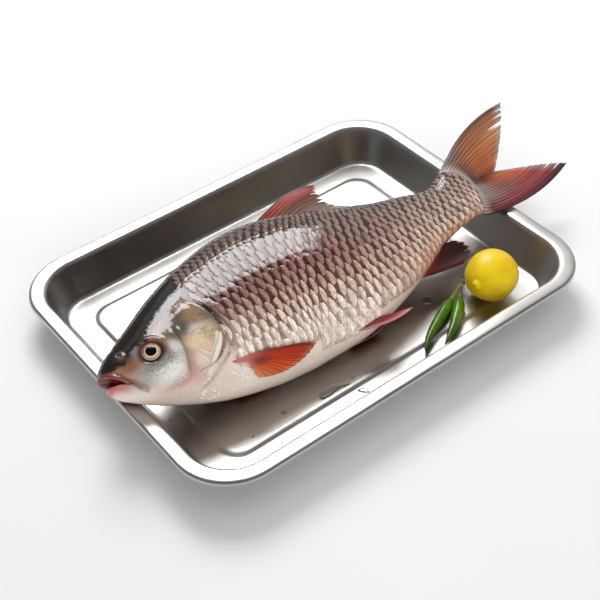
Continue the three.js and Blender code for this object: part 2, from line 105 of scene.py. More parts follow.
# Scales: spacing along a row and from row to row, at places along the spine.
SCALE_AT = [100, 150, 220, 260, 330, 400, 446]
SCALE_PITCH = [9.6, 9.8, 9.3, 8.8, 8.1, 7.4, 6.6]
SCALE_ROW = [11.2, 12.2, 12.2, 11.6, 9.6, 7.2, 6.4]
SCALE_LIFT = 0.55

# Above this row, counted from mid flank, the scales of the back are smaller by these shares.
LAST_LARGE_ROW = 3
SMALL_PITCH, SMALL_ROW = 0.75, 0.64
ROWS = range(-9, 16)
SCALE_ROOM = np.arange(100, 441, 1.0)

# The belly below this distance round the skin is bare, at places along the spine.
BELLY_AT = [110, 150, 230, 300, 360, 420]
BELLY_BELOW = [-48, -64, -76, -58, -42, -34]

# ---- small helpers -----------------------------------------------------------------------------


def unit(vectors):
    return vectors / np.maximum(np.linalg.norm(vectors, axis=-1, keepdims=True), 1e-12)


def smooth(value, low, high):
    """0 below low, 1 above high and an even rise between."""
    t = np.clip((value - low) / (high - low), 0, 1)
    return t * t * (3 - 2 * t)


def bump(value, spread):
    return np.exp(-((value / spread) ** 2))


def mix(a, b, t):
    return a + (b - a) * t


def to_row(points):
    """Millimetres about the tray's middle to metres in the part's own frame."""
    return np.asarray(points, float) * MM + SHIFT


def linear(hex_code):
    """An sRGB hex colour as linear red, green and blue."""
    values = np.array([int(hex_code[i:i + 2], 16) / 255 for i in (1, 3, 5)])
    return np.where(values <= 0.04045, values / 12.92, ((values + 0.055) / 1.055) ** 2.4)


def rgba(hex_code):
    return (*linear(hex_code), 1.0)


def quadratic(points, t):
    """A curve bent by its middle point; t may be an array."""
    t = np.asarray(t, float)[..., None]
    a, b, c = (np.asarray(p, float) for p in points)
    return (1 - t) ** 2 * a + 2 * t * (1 - t) * b + t * t * c


def waves(a, b, seed, size):
    """Soft uneven bumps between -1 and 1, about so many units across."""
    chance = np.random.default_rng(seed)
    total = np.zeros(np.broadcast(a, b).shape)
    for _ in range(6):
        turn = chance.uniform(0, 2 * math.pi)
        pace = chance.uniform(3.5, 7.5) / size
        total += np.sin(pace * (a * math.cos(turn) + b * math.sin(turn)) + chance.uniform(0, 7))
    return total / 3.2


# ---- the body's shape --------------------------------------------------------------------------


def through(column, at):
    """A smooth value through the body's stations, straight on past both ends."""
    at = np.asarray(at, float)
    x, y = BODY[:, 0], BODY[:, column]
    slope = np.empty_like(y)
    slope[1:-1] = (y[2:] - y[:-2]) / (x[2:] - x[:-2])
    slope[0] = (y[1] - y[0]) / (x[1] - x[0])
    slope[-1] = (y[-1] - y[-2]) / (x[-1] - x[-2])
    i = np.clip(np.searchsorted(x, at, side="right") - 1, 0, len(x) - 2)
    step = x[i + 1] - x[i]
    t = (at - x[i]) / step
    inner = np.clip(t, 0, 1)
    rise = inner ** 2 * (3 - 2 * inner)
    bend = inner * (1 - inner) * step * ((1 - inner) * slope[i] - inner * slope[i + 1])
    past = step * (np.minimum(t, 0) * slope[i] + np.maximum(t - 1, 0) * slope[i + 1])
    return mix(y[i], y[i + 1], rise) + bend + past


def spine(at):
    at = np.asarray(at, float)
    return np.stack([SNOUT_X + at, through(SWING, at), through(HEIGHT, at)], -1)


def directions(at):
    """Along the fish, up towards its back, and out through its upper flank."""
    way = unit(spine(np.asarray(at) + 0.5) - spine(np.asarray(at) - 0.5))
    over = np.array([0.0, 0.0, 1.0])
    level = unit(over - way * way[..., 2:])
    across = np.cross(level, way)
    back = across * math.cos(LEAN) + level * math.sin(LEAN)
    return way, back, level * math.cos(LEAN) - across * math.sin(LEAN)


def fish_point(at, up, out):
    _, back, flank = directions(at)
    return spine(at) + back * np.asarray(up)[..., None] + flank * np.asarray(out)[..., None]


def section(at):
    """Half depth and half thickness of the body, rounded at the nose."""
    blunt = np.clip(1 - np.asarray(at) / NOSE_ROUND, 0, 1)
    blunt = np.sqrt(np.clip(1 - blunt * blunt, 0, 1))
    return through(DEPTH, at) * blunt, through(WIDTH, at) * blunt


def skin_point(at, angle, lift=0.0):
    """Angle 0 is the ridge of the back, a quarter turn the upper flank."""
    depth, width = section(at)
    out = (width + lift) * np.sin(angle) * (1 - BELLY_FULLNESS * np.cos(angle))
    return fish_point(at, (depth + lift) * np.cos(angle), out)


def skin_angle(at, up, side=1, lift=0.0):
    depth, _ = section(at)
    return side * np.arccos(np.clip(up / (depth + lift), -1, 1))


def skin_normal(at, angle):
    along = skin_point(at + 0.2, angle) - skin_point(at - 0.2, angle)
    round_it = skin_point(at, angle + 0.004) - skin_point(at, angle - 0.004)
    normal = unit(np.cross(round_it, along))
    outward = np.einsum("...i,...i", normal, skin_point(at, angle) - spine(at))
    return normal * np.where(outward < 0, -1, 1)[..., None]


def tray_top(points):
    """The height of the tray's upper face under each point."""
    inset = np.minimum(TRAY_LENGTH / 2 - abs(points[..., 0]), TRAY_WIDTH / 2 - abs(points[..., 1]))
    profile = np.array(TRAY_PROFILE)[::-1]
    height = np.interp(inset, profile[:, 0], profile[:, 1])
    return np.where(inset < 0, NO_TRAY, height)


def settle(points):
    """Flesh that would sink into the tray is pressed flat on it."""
    points[..., 2] = np.maximum(points[..., 2], tray_top(points) + GAP)
    return points


# How far round the skin a place is from the middle of the flank, positive towards the back.
ARC_STEP = 2.0
ARC_ANGLES = np.linspace(0, math.pi, 181)
ARC_REACH = 130


def arc_table():
    at = np.arange(0, TAIL_END + ARC_STEP, ARC_STEP)
    points = skin_point(*np.meshgrid(at, ARC_ANGLES, indexing="ij"))
    run = np.cumsum(np.linalg.norm(np.diff(points, axis=1), axis=-1), axis=1)
    run = np.pad(run, ((0, 0), (1, 0)))
    return run[:, 90:91] - run


ARC = arc_table()


def lookup(table, at, column):
    """Reads a table kept at every second millimetre of the spine, between its rows and columns."""
    row = np.clip(np.asarray(at, float) / ARC_STEP, 0, len(table) - 1.001)
    column = np.clip(column, 0, table.shape[1] - 1.001)
    i, j = row.astype(int), column.astype(int)
    u, v = row - i, column - j
    return mix(mix(table[i, j], table[i + 1, j], u), mix(table[i, j + 1], table[i + 1, j + 1], u), v)


def arc(at, angle):
    return lookup(ARC, at, abs(np.asarray(angle, float)) / math.pi * 180)


EVEN = np.arange(-ARC_REACH, ARC_REACH + 0.5, 0.5)
ANGLES = np.array([np.interp(-EVEN, -row, ARC_ANGLES) for row in ARC])


def angle_at(at, around):
    """The angle at a distance round the skin; past the ridge or the keel, down the other side."""
    top, bottom = lookup(ARC, at, 0 * at), lookup(ARC, at, 0 * at + 180)
    over, under = around > top, around < bottom
    inner = np.where(over, 2 * top - around, np.where(under, 2 * bottom - around, around))
    angle = lookup(ANGLES, at, (inner + ARC_REACH) / 0.5)
    return np.where(over, -angle, np.where(under, 2 * math.pi - angle, angle))


# ---- colours laid over the fish ----------------------------------------------------------------

# From belly to back, by distance round the skin from the middle of the flank.
FLANK_FRONT = [(-90, "#f2dfd2"), (-55, "#f6e5d9"), (-45, "#efdccf"), (-35, "#dfc7b7"), (-25, "#c4a596"),
               (-14, "#aa877b"), (-2, "#96726a"), (15, "#92706a"), (40, "#8e7369"), (62, "#876c62"),
               (76, "#5a4e48"), (92, "#2c2825")]
FLANK_REAR = [(-50, "#d29b84"), (-38, "#deb9a3"), (-30, "#dfc4b0"), (-22, "#e2cabb"), (-14, "#cdb5a8"),
              (0, "#b39a8f"), (15, "#a68f86"), (26, "#8d7d76"), (38, "#4f4742")]
# The scales' roots in their pockets, from belly to back: their own darker skin, with painted shade from the
# scale in front.
POCKET_AND_SHADE_FRONT = [(-90, "#dccabc"), (-55, "#bfab9a"), (-45, "#9f8676"), (-35, "#765a4a"), (-25, "#5a3d30"),
              (-10, "#46312a"), (10, "#33231d"), (50, "#2c2320"), (90, "#1f1c1a")]
POCKET_AND_SHADE_REAR = [(-40, "#a8745c"), (-28, "#9a7764"), (-14, "#6e5447"), (5, "#553d33"), (20, "#44342d"),
             (38, "#2d2622")]
KEEL_RED = "#c4655a"

# The head's dark crown begins at this distance round the skin, at places along the spine.
CROWN_AT = [0, 10, 14, 20, 24, 29, 36, 46, 52, 60, 80, 100, 125]
CROWN_FROM = [-6, -4, -2, -1, 4, 9, 10.5, 11.5, 16, 21, 28, 36, 54]

# Soft patches on the head: place, distance from mid flank, reach each way, strength and colour.
HEAD_PATCHES = [
    (18, -36, 26, 14, 1.0, "#e6dad0"),
    (48, -48, 34, 10, 0.9, "#dfc2b6"),
    (60, -58, 40, 10, 0.8, "#e0cdc0"),
    (52, -36, 15, 4.5, 0.8, "#c4837c"),
    (38, -20, 16, 12, 1.0, "#b4b4aa"),
    (50, -25, 14, 11, 1.0, "#f0efe8"),
    (61, -10, 5.5, 15, 1.0, "#d8d7cf"),
    (44, -13, 15, 4.5, 0.7, "#86847a"),
    (30, 7, 6, 8, 0.9, "#8c7e82"),
    (23, -4, 8, 6, 1.0, "#8a6244"),
    (22, 4, 7, 6, 0.8, "#4a342c"),
    (58, 8, 8, 8, 1.0, "#8a6d4c"),
    (51, -2, 5, 7, 0.7, "#4c4236"),
    (66, 6, 5.5, 11, 0.9, "#5b584f"),
    (75, 18, 14, 9, 0.8, "#54493f"),
    (75, 5, 8, 8, 1.0, "#565349"),
    (94, 12, 11, 10, 1.0, "#8f7a5a"),
    (101, 0, 6, 12, 0.9, "#6f6b5a"),
    # Painted highlight: a lavender-white glint on the gill cover.
    (84, -3, 8, 6, 0.9, "#c4b4b6"),
    (78, -14, 11, 10, 1.0, "#dfc8a4"),
    (81, -23, 10, 7, 0.8, "#dcc2aa"),
    (66, -21, 4, 12, 0.7, "#a39284"),
    (73, -30, 7, 7, 0.8, "#e8d6c6"),
    (93, -9, 8, 8, 0.8, "#c0ac8c"),
    (66, -38, 7, 8, 0.7, "#d6b0a6"),
    (63, -28, 4, 7, 0.7, "#c98a82"),
    (105, -26, 6, 14, 0.7, "#8d7a6c"),
]
CREAM_STRIP = np.array([[100, -16], [93, -24.5], [83, -33], [71, -42.5]])
UPPER_LIP = "#7e4038"
LOWER_LIP = "#c27570"
MOUTH_RED = "#5c0a08"


def stops(table, where):
    """Linear colours read off a table of (place, colour) at each place."""
    places = [p for p, _ in table]
    colours = np.array([linear(c) for _, c in table])
    return np.stack([np.interp(where, places, colours[:, k]) for k in range(3)], -1)


def flank_colour(at, around, front=FLANK_FRONT, rear=FLANK_REAR):
    colour = mix(stops(front, around), stops(rear, around), smooth(at, 240, 385)[..., None])
    # Painted shade: the flank is darkened along the band where the back soft box's glare lies.
    glare_band_shade = bump(around - 38, 20) * (1 - smooth(at, 215, 260)) * smooth(at, 100, 130)
    colour = colour * (1 - 0.45 * glare_band_shade)[..., None]
    keel = around - lookup(ARC, at, 0 * at + 180)
    return blotted(colour, KEEL_RED, 0.7 * smooth(at, 290, 350) * (1 - smooth(keel, 0, 13)))


def blotted(colour, code, share):
    return mix(colour, linear(code), np.clip(share, 0, 1)[..., None])


def head_colour(at, around):
    """The bare skin's colour on the head, from soft patches over the flank's colours; one patch is a painted
    highlight.
    """
    colour = flank_colour(at, around)
    for place, height, reach_at, reach_up, strength, code in HEAD_PATCHES:
        spot = ((at - place) / reach_at) ** 2 + ((around - height) / reach_up) ** 2
        colour = blotted(colour, code, strength * np.exp(-(spot ** 1.6)))

    # Fine streaks fan out over the gill cover from its hinge.
    fan = np.arctan2(around + 2, at - 64)
    streak = np.sin(60 * fan + 3 * np.sin(9 * fan)) + 0.6 * np.sin(97 * fan + 2 * np.sin(7 * fan))
    streak *= smooth(at, 70, 76) * (1 - smooth(at, 98, 105)) * (1 - smooth(around, 6, 18))
    streak *= smooth(around, -42, -30)
    colour *= (1 + 0.15 * streak)[..., None]

    strip, _, along = near_line(CREAM_STRIP, at, around)
    colour = blotted(colour, "#eee7d3", (1 - smooth(strip, 2.2, 4.0)) * ends(along, 0.06))
    rim = bump(at - 107, 3.6) * smooth(around, -30, -14) * (1 - smooth(around, 8, 22))
    colour = blotted(colour, "#34333c", 0.9 * rim)
    shoulder = bump(at - 111, 4.0) * smooth(around, 2, 10) * (1 - smooth(around, 26, 34))
    colour = blotted(colour, "#5d3c28", 0.9 * shoulder)

    crown = np.interp(at, CROWN_AT, CROWN_FROM)
    dark = smooth(around + 1.5 * waves(at, around, 3, 5), crown - 2.5, crown + 2.0)
    colour = blotted(colour, "#211b17", dark * (1 - smooth(at, 108, 126)))
    nostril = bump(at - 20, 3.4) * bump(around - 9, 4.2)
    colour = blotted(colour, "#75645e", 0.9 * nostril)
    return colour


# ---- making meshes -----------------------------------------------------------------------------


def grid_faces(rows, columns, closed):
    """Four-sided faces over a grid of rows by columns; closed joins the last column to the first."""
    i, j = np.meshgrid(np.arange(rows - 1), np.arange(columns if closed else columns - 1), indexing="ij")
    k = (j + 1) % columns
    faces = np.stack([i * columns + j, (i + 1) * columns + j, (i + 1) * columns + k, i * columns + k], -1)
    return faces.reshape(-1, 4).tolist()


def put_in_scene(name, data):
    made = bpy.data.objects.new(name, data)
    bpy.context.scene.collection.objects.link(made)
    return made


def write_uv(mesh, uv):
    """Gives each corner of a mesh its point's place for the material."""
    corners = np.empty(len(mesh.loops), int)
    mesh.loops.foreach_get("vertex_index", corners)
    layer = mesh.uv_layers.new(name="place")
    layer.data.foreach_set("uv", np.asarray(uv, np.float32)[corners].ravel())


def make_piece(name, points, faces, material, uv=None, colours=None, values=None):
    """A mesh in the row frame from points in millimetres, with its coordinates and colours."""
    mesh = bpy.data.meshes.new(name)
    mesh.from_pydata(to_row(points).tolist(), [], faces)
    mesh.materials.append(material)
    if uv is not None:
        write_uv(mesh, uv)
    for key, colour in (colours or {}).items():
        full = np.ones((len(points), 4), np.float32)
        full[:, :3] = colour
        mesh.color_attributes.new(key, "FLOAT_COLOR", "POINT").data.foreach_set("color", full.ravel())
    for key, value in (values or {}).items():
        mesh.attributes.new(key, "FLOAT", "POINT").data.foreach_set("value", np.asarray(value, np.float32))
    mesh.shade_smooth()
    return put_in_scene(name, mesh)


def face_outwards(piece):
    """Turns each closed shell of a piece so that its faces point out."""
    bpy.context.view_layer.objects.active = piece
    piece.select_set(True)
    bpy.ops.object.mode_set(mode="EDIT")
    bpy.ops.mesh.select_all(action="SELECT")
    bpy.ops.mesh.normals_make_consistent(inside=False)
    bpy.ops.object.mode_set(mode="OBJECT")
    piece.select_set(False)


def tube(path, radius, sides):
    """Rings of points along a path; the ends come to a point where the radius is small."""
    path = np.asarray(path, float)
    radius = np.asarray(radius, float)
    way = unit(np.gradient(path, axis=0))
    across = np.array([0.0, 0.0, 1.0])
    rings = []
    turn = np.linspace(0, 2 * math.pi, sides, endpoint=False)
    for centre, forward, reach in zip(path, way, radius):
        across = unit(across - forward * (across @ forward))
        other = np.cross(forward, across)
        rings.append(centre + reach * (np.outer(np.cos(turn), across) + np.outer(np.sin(turn), other)))
    return np.array(rings)


def capped(rings):
    """Points and faces of a tube with a point at each end."""
    count, sides = rings.shape[:2]
    points = np.concatenate([rings.reshape(-1, 3), rings[:1].mean(1), rings[-1:].mean(1)])
    faces = grid_faces(count, sides, True)
    first, last = count * sides, count * sides + 1
    faces += [[first, j, (j + 1) % sides] for j in range(sides)]
    end = (count - 1) * sides
    faces += [[last, end + (j + 1) % sides, end + j] for j in range(sides)]
    return points, faces


# ---- materials ---------------------------------------------------------------------------------

# A noise pattern runs from 0 to 1 but seldom goes past these two.
NOISE_SPAN = (0.3, 0.7)


def feed(tree, node, inputs):
    """Sets a node's inputs: each is a value, an output, or a node for its first output."""
    for key, value in inputs.items():
        if isinstance(value, bpy.types.Node):
            value = value.outputs[0]
        if isinstance(value, bpy.types.NodeSocket):
            tree.links.new(value, node.inputs[key])
        else:
            node.inputs[key].default_value = value


def add(tree, kind, inputs=None, **settings):
    """Adds a node with its own settings and feeds its inputs."""
    made = tree.nodes.new(kind)
    for key, value in settings.items():
        setattr(made, key, value)
    feed(tree, made, inputs or {})
    return made


def new_material(name, **sockets):
    """A material with its shader's fixed sockets set; returns it, its tree and its shader."""
    material = bpy.data.materials.new(name)
    material.use_nodes = True
    tree = material.node_tree
    shader = tree.nodes["Principled BSDF"]
    for key, value in sockets.items():
        shader.inputs[key.replace("_", " ")].default_value = value
    return material, tree, shader


def spots(tree, coordinates, per_mm, detail=2.0):
    """Noise whose lumps are about one over per_mm millimetres across."""
    noise = add(tree, "ShaderNodeTexNoise", {"Vector": coordinates, "Scale": per_mm / MM, "Detail": detail})
    return noise.outputs["Fac"]


def uneven(tree, noise, low, high, span=NOISE_SPAN):
    """Noise turned into a factor that runs from low to high."""
    return add(tree, "ShaderNodeMapRange", {"Value": noise, "From Min": span[0], "From Max": span[1],
                                            "To Min": low, "To Max": high})


def two_tones(tree, noise, first, second, span=NOISE_SPAN):
    """Noise turned into a colour between two."""
    ramp = add(tree, "ShaderNodeValToRGB", {"Fac": noise})
    for element, place, code in zip(ramp.color_ramp.elements, span, (first, second)):
        element.position, element.color = place, rgba(code)
    return ramp.outputs["Color"]


def stainless_steel():
    """Stainless steel, pressed and lightly brushed: soft mirror reflections, faint smears."""
    material, tree, shader = new_material("pressed stainless steel", Metallic=1.0)
    place = add(tree, "ShaderNodeTexCoord").outputs["Object"]
    smear = spots(tree, place, 0.02, 4.0)
    grain = add(tree, "ShaderNodeMapping", {"Vector": place, "Scale": (0.05, 1.0, 1.0)})
    lines = spots(tree, grain.outputs["Vector"], 2.0)
    relief = add(tree, "ShaderNodeBump", {"Height": lines, "Strength": 0.02, "Distance": 0.1 * MM})
    feed(tree, shader, {"Roughness": uneven(tree, smear, 0.29, 0.37), "Normal": relief,
                        "Base Color": two_tones(tree, smear, "#bab7b3", "#c6c4c1")})
    return material


def wet_skin():
    """Bare fish skin, wet and slimy: soft flesh colours under a clear film, finely speckled."""
    material, tree, shader = new_material("wet fish skin", Roughness=0.5, Coat_Weight=1.0,
                                          Coat_Roughness=0.05, Coat_IOR=1.45, Specular_IOR_Level=0.0)
    flesh = add(tree, "ShaderNodeAttribute", attribute_name="flesh").outputs["Color"]
    specks = add(tree, "ShaderNodeAttribute", attribute_name="specks").outputs["Fac"]
    place = add(tree, "ShaderNodeTexCoord").outputs["Object"]
    speckle = spots(tree, place, 0.9, 3.0)
    mottled = uneven(tree, speckle, 0.90, 1.09, span=(0.32, 0.68))

    # Dark grit shows on the cheek, where the mesh says so.
    grit = uneven(tree, spots(tree, place, 0.95, 4.0), 0.0, 0.58, span=(0.46, 0.62))
    grit = add(tree, "ShaderNodeMath", {0: grit, 1: specks}, operation="MULTIPLY")
    clear = add(tree, "ShaderNodeMath", {0: 1.0, 1: grit}, operation="SUBTRACT")
    clear = add(tree, "ShaderNodeMath", {0: clear, 1: mottled}, operation="MULTIPLY")
    toned = add(tree, "ShaderNodeVectorMath", {0: flesh, "Scale": clear}, operation="SCALE")

    film = spots(tree, place, 0.3, 3.0)
    slime = add(tree, "ShaderNodeBump", {"Height": film, "Strength": 1.0, "Distance": 0.12 * MM})
    relief = add(tree, "ShaderNodeBump", {"Height": speckle, "Strength": 0.06, "Distance": 0.3 * MM,
                                          "Normal": slime})
    feed(tree, shader, {"Base Color": toned, "Normal": relief, "Coat Normal": slime})
    return material


def wet_scales():
    """Fish scales, horn-like plates in dark pockets: pale and pearly at the free edge, with a painted
    highlight along it; dark at the root, partly the pocket's own colour and partly painted shade from the
    scale in front.
    """
    material, tree, shader = new_material("wet fish scales", Roughness=0.45, Coat_Roughness=0.07,
                                          Coat_IOR=1.45, Specular_IOR_Level=0.0)
    pale = add(tree, "ShaderNodeAttribute", attribute_name="pale").outputs["Color"]
    root = add(tree, "ShaderNodeAttribute", attribute_name="root").outputs["Color"]
    own = add(tree, "ShaderNodeAttribute", attribute_name="blush").outputs["Vector"]
    redness, own_number, _ = add(tree, "ShaderNodeSeparateXYZ", {"Vector": own}).outputs
    on_scale = add(tree, "ShaderNodeUVMap", uv_map="place").outputs["UV"]
    inwards, across, _ = add(tree, "ShaderNodeSeparateXYZ", {"Vector": on_scale}).outputs
    place = add(tree, "ShaderNodeTexCoord").outputs["Object"]
    grain = spots(tree, place, 0.55, 4.0)

    # The pale leaf ends where the pocket's dark skin covers the scale, its darkness partly painted shade
    # from the scale in front; its outline is pointed and wanders.
    wide = add(tree, "ShaderNodeMath", {0: across, 1: 4.0}, operation="POWER")
    leaf = add(tree, "ShaderNodeMath", {0: wide, 1: 0.7, 2: inwards}, operation="MULTIPLY_ADD")
    wander = add(tree, "ShaderNodeMath", {0: grain, 1: 0.5, 2: leaf}, operation="MULTIPLY_ADD")
    covered = add(tree, "ShaderNodeMapRange", {"Value": wander, "From Min": 0.70, "From Max": 0.92},
                  interpolation_type="SMOOTHSTEP")
    bare = add(tree, "ShaderNodeMath", {0: 1.0, 1: covered}, operation="SUBTRACT")
    outline = add(tree, "ShaderNodeMath", {0: bare, 1: covered}, operation="MULTIPLY")
    border = add(tree, "ShaderNodeMath", {0: outline, 1: 2.4}, operation="MULTIPLY")
    border = add(tree, "ShaderNodeMath", {0: border, 1: redness}, operation="MULTIPLY")
    body = add(tree, "ShaderNodeMix", {"Factor": covered, 6: pale, 7: root}, data_type="RGBA").outputs[2]
    body = add(tree, "ShaderNodeMix", {"Factor": border, 6: body, 7: rgba("#93343a")}, data_type="RGBA")

    # Fine growth lines run across the scale; a third coordinate of its own makes each scale differ.
    apart = add(tree, "ShaderNodeCombineXYZ", {"X": inwards, "Y": across, "Z": own_number})
    lines = add(tree, "ShaderNodeMapping", {"Vector": apart, "Scale": (5.0, 2.2, 90.0)})
    lines = add(tree, "ShaderNodeTexNoise", {"Vector": lines, "Scale": 1.0, "Detail": 2.0})
    lines = uneven(tree, lines.outputs["Fac"], 0.70, 1.32)
    # Painted highlight: lighter along the free edge, a little darker towards the root.
    edge = uneven(tree, inwards, 1.08, 0.96, span=(0.05, 0.6))
    shade = add(tree, "ShaderNodeMath", {0: uneven(tree, grain, 0.74, 1.24), 1: edge}, operation="MULTIPLY")
    shade = add(tree, "ShaderNodeMath", {0: shade, 1: lines}, operation="MULTIPLY")
    toned = add(tree, "ShaderNodeVectorMath", {0: body.outputs[2], "Scale": shade}, operation="SCALE")

    # The wet film is thin along the leaf's outline, so the dark line there shows in the glare.
    film = uneven(tree, outline, 0.9, 0.12, span=(0.0, 0.25))
    ridges = add(tree, "ShaderNodeMath", {0: across, 1: 42.0}, operation="MULTIPLY")
    ridges = add(tree, "ShaderNodeMath", {0: ridges}, operation="SINE")
    relief = add(tree, "ShaderNodeBump", {"Height": ridges, "Strength": 0.12, "Distance": 0.15 * MM})
    slime = add(tree, "ShaderNodeBump", {"Height": grain, "Strength": 1.0, "Distance": 0.05 * MM})
    feed(tree, shader, {"Base Color": toned, "Coat Weight": film, "Normal": relief, "Coat Normal": slime})
    return material


def fin_web():
    """Fin membrane over bony rays: thin wet skin, streaked along the rays."""
    material, tree, shader = new_material("wet fin", Roughness=0.4, Coat_Weight=0.5, Coat_Roughness=0.12,
                                          Coat_IOR=1.36, Specular_IOR_Level=0.15)
    tone = add(tree, "ShaderNodeAttribute", attribute_name="tone").outputs["Color"]
    ray_tone = add(tree, "ShaderNodeAttribute", attribute_name="ray_tone").outputs["Color"]
    ray = add(tree, "ShaderNodeAttribute", attribute_name="ray").outputs["Fac"]
    on_fin = add(tree, "ShaderNodeUVMap", uv_map="place").outputs["UV"]
    stretched = add(tree, "ShaderNodeMapping", {"Vector": on_fin, "Scale": (2.2, 0.5, 1.0)})
    streak = add(tree, "ShaderNodeTexNoise", {"Vector": stretched, "Scale": 1.0, "Detail": 3.0})
    streak = uneven(tree, streak.outputs["Fac"], 0.7, 1.25)
    outwards = add(tree, "ShaderNodeSeparateXYZ", {"Vector": on_fin}).outputs["Y"]
    clear_of_root = uneven(tree, outwards, 0.0, 1.0, span=(0.4, 1.2))
    streak = add(tree, "ShaderNodeMix", {"Factor": clear_of_root, 2: 1.0, 3: streak})
    blend = add(tree, "ShaderNodeMix", {"Factor": ray, 6: tone, 7: ray_tone}, data_type="RGBA").outputs[2]
    toned = add(tree, "ShaderNodeVectorMath", {0: blend, "Scale": streak}, operation="SCALE")
    feed(tree, shader, {"Base Color": toned})
    return material


def eye_glass():
    """The eye: black pupil and pale gold ring under a clear domed cornea."""
    material, tree, shader = new_material("fish eye", Roughness=0.4, Coat_Weight=0.35, Coat_Roughness=0.02,
                                          Specular_IOR_Level=0.0)
    feed(tree, shader, {"Base Color": add(tree, "ShaderNodeAttribute", attribute_name="flesh")})
    return material


def mouth_lining():
    """The lining of the mouth: raw dark red flesh, damp but with no film to mirror the studio."""
    material, tree, shader = new_material("mouth lining", Roughness=0.6, Specular_IOR_Level=0.1)
    place = add(tree, "ShaderNodeTexCoord").outputs["Object"]
    feed(tree, shader, {"Base Color": two_tones(tree, spots(tree, place, 0.5, 3.0), "#4a0807", "#7c1411")})
    return material


def lemon_peel():
    """Lemon peel: waxy bright yellow with fine oil pits."""
    material, tree, shader = new_material("lemon peel", Roughness=0.5, Coat_Weight=0.25, Coat_Roughness=0.35,
                                          Subsurface_Weight=0.12, Subsurface_Scale=0.004)
    place = add(tree, "ShaderNodeTexCoord").outputs["Object"]
    tone = two_tones(tree, spots(tree, place, 0.06), "#f0c400", "#fbdb02")
    # Painted shade browns the nub's tip.
    nub_shade = add(tree, "ShaderNodeAttribute", attribute_name="nub_shade").outputs["Fac"]
    tone = add(tree, "ShaderNodeMix", {"Factor": nub_shade, 6: tone, 7: rgba("#8a5c14")}, data_type="RGBA")
    pits = add(tree, "ShaderNodeTexVoronoi", {"Vector": place, "Scale": 0.62 / MM}, feature="SMOOTH_F1")
    relief = add(tree, "ShaderNodeBump", {"Height": pits.outputs["Distance"], "Strength": 0.28,
                                          "Distance": 0.5 * MM})
    feed(tree, shader, {"Base Color": tone.outputs[2], "Normal": relief})
    return material


def chilli_skin():
    """Green chilli: taut, shiny waxy skin of an uneven green; the stalk is lighter."""
    material, tree, shader = new_material("green chilli skin", Roughness=0.4, Coat_Weight=0.6,
                                          Coat_Roughness=0.05, Specular_IOR_Level=0.15)
    tone = add(tree, "ShaderNodeAttribute", attribute_name="flesh").outputs["Color"]
    patch = spots(tree, add(tree, "ShaderNodeTexCoord").outputs["Object"], 0.12)
    toned = add(tree, "ShaderNodeVectorMath", {0: tone, "Scale": uneven(tree, patch, 0.75, 1.25)},
                operation="SCALE")
    relief = add(tree, "ShaderNodeBump", {"Height": patch, "Strength": 0.6, "Distance": 0.8 * MM})
    feed(tree, shader, {"Base Color": toned, "Normal": relief, "Coat Normal": relief})
    return material


def clear_water():
    """Water: clear drops with sharp glints."""
    return new_material("clear water", Roughness=0.0, IOR=1.333, Transmission_Weight=1.0)[0]


def water_beads():
    """Small beads of water on the skin, made as bright milky dots: painted glints for the studio's light in
    each bead.
    """
    material, tree, shader = new_material("beads painted as glints", Roughness=0.15, Coat_Weight=1.0,
                                          Coat_Roughness=0.02)
    cloud = spots(tree, add(tree, "ShaderNodeTexCoord").outputs["Object"], 0.3)
    # Painted glints: the beads are coloured milky white.
    feed(tree, shader, {"Base Color": two_tones(tree, cloud, "#fff6ea", "#ffffff", span=(0.35, 0.65))})
    return material


def white_table():
    """A white matt sweep."""
    material, tree, shader = new_material("white table", Roughness=0.9)
    cloud = spots(tree, add(tree, "ShaderNodeTexCoord").outputs["Object"], 0.004)
    feed(tree, shader, {"Base Color": two_tones(tree, cloud, "#f4f4f5", "#f6f6f7")})
    return material


# ---- the tray ----------------------------------------------------------------------------------

# The upper face from the panel's edge out to the turned-down lip: inset from the edge, height.
TRAY_PROFILE = [
    (56, PANEL_TOP), (54.6, PANEL_TOP - 0.3), (52.4, SHEET + 0.3), (51, SHEET), (33.5, SHEET),
    (30.3, SHEET + 0.7), (28.2, SHEET + 2.4), (27, SHEET + 5), (16.6, TRAY_HEIGHT - 4.4),
    (15.3, TRAY_HEIGHT - 2.1), (13.5, TRAY_HEIGHT - 0.6), (11, TRAY_HEIGHT), (2.6, TRAY_HEIGHT),
    (0.8, TRAY_HEIGHT - 0.8), (0, TRAY_HEIGHT - 2.6), (0, TRAY_HEIGHT - 5),
]


def rounded_profile(profile, rounds=2):
    """Cuts the corners of the profile twice, so that its bends are smooth."""
    line = np.array(profile, float)
    for _ in range(rounds):
        early = mix(line[:-1], line[1:], 0.25)
        late = mix(line[:-1], line[1:], 0.75)
        inner = np.stack([early, late], 1).reshape(-1, 2)
        line = np.concatenate([line[:1], inner, line[-1:]])
    return line


def rounded_rectangle(inset, height, corner_steps=20, side_steps=6):
    """A ring of points round the tray, so far in from its edge."""
    radius = max(TRAY_CORNER - 0.8 * inset, 20)
    x = TRAY_LENGTH / 2 - inset - radius
    y = TRAY_WIDTH / 2 - inset - radius
    corners = []
    for sx, sy, start in [(1, 1, 0), (-1, 1, 90), (-1, -1, 180), (1, -1, 270)]:
        turn = np.radians(start + np.linspace(0, 90, corner_steps + 1))
        corners.append(np.stack([sx * x + radius * np.cos(turn), sy * y + radius * np.sin(turn)], -1))
    ring = []
    for here, there in zip(corners, corners[1:] + corners[:1]):
        run = np.linspace(0, 1, side_steps + 2)[1:-1, None]
        ring += [here, mix(here[-1], there[0], run)]
    ring = np.concatenate(ring)
    return np.column_stack([ring, np.full(len(ring), height)])


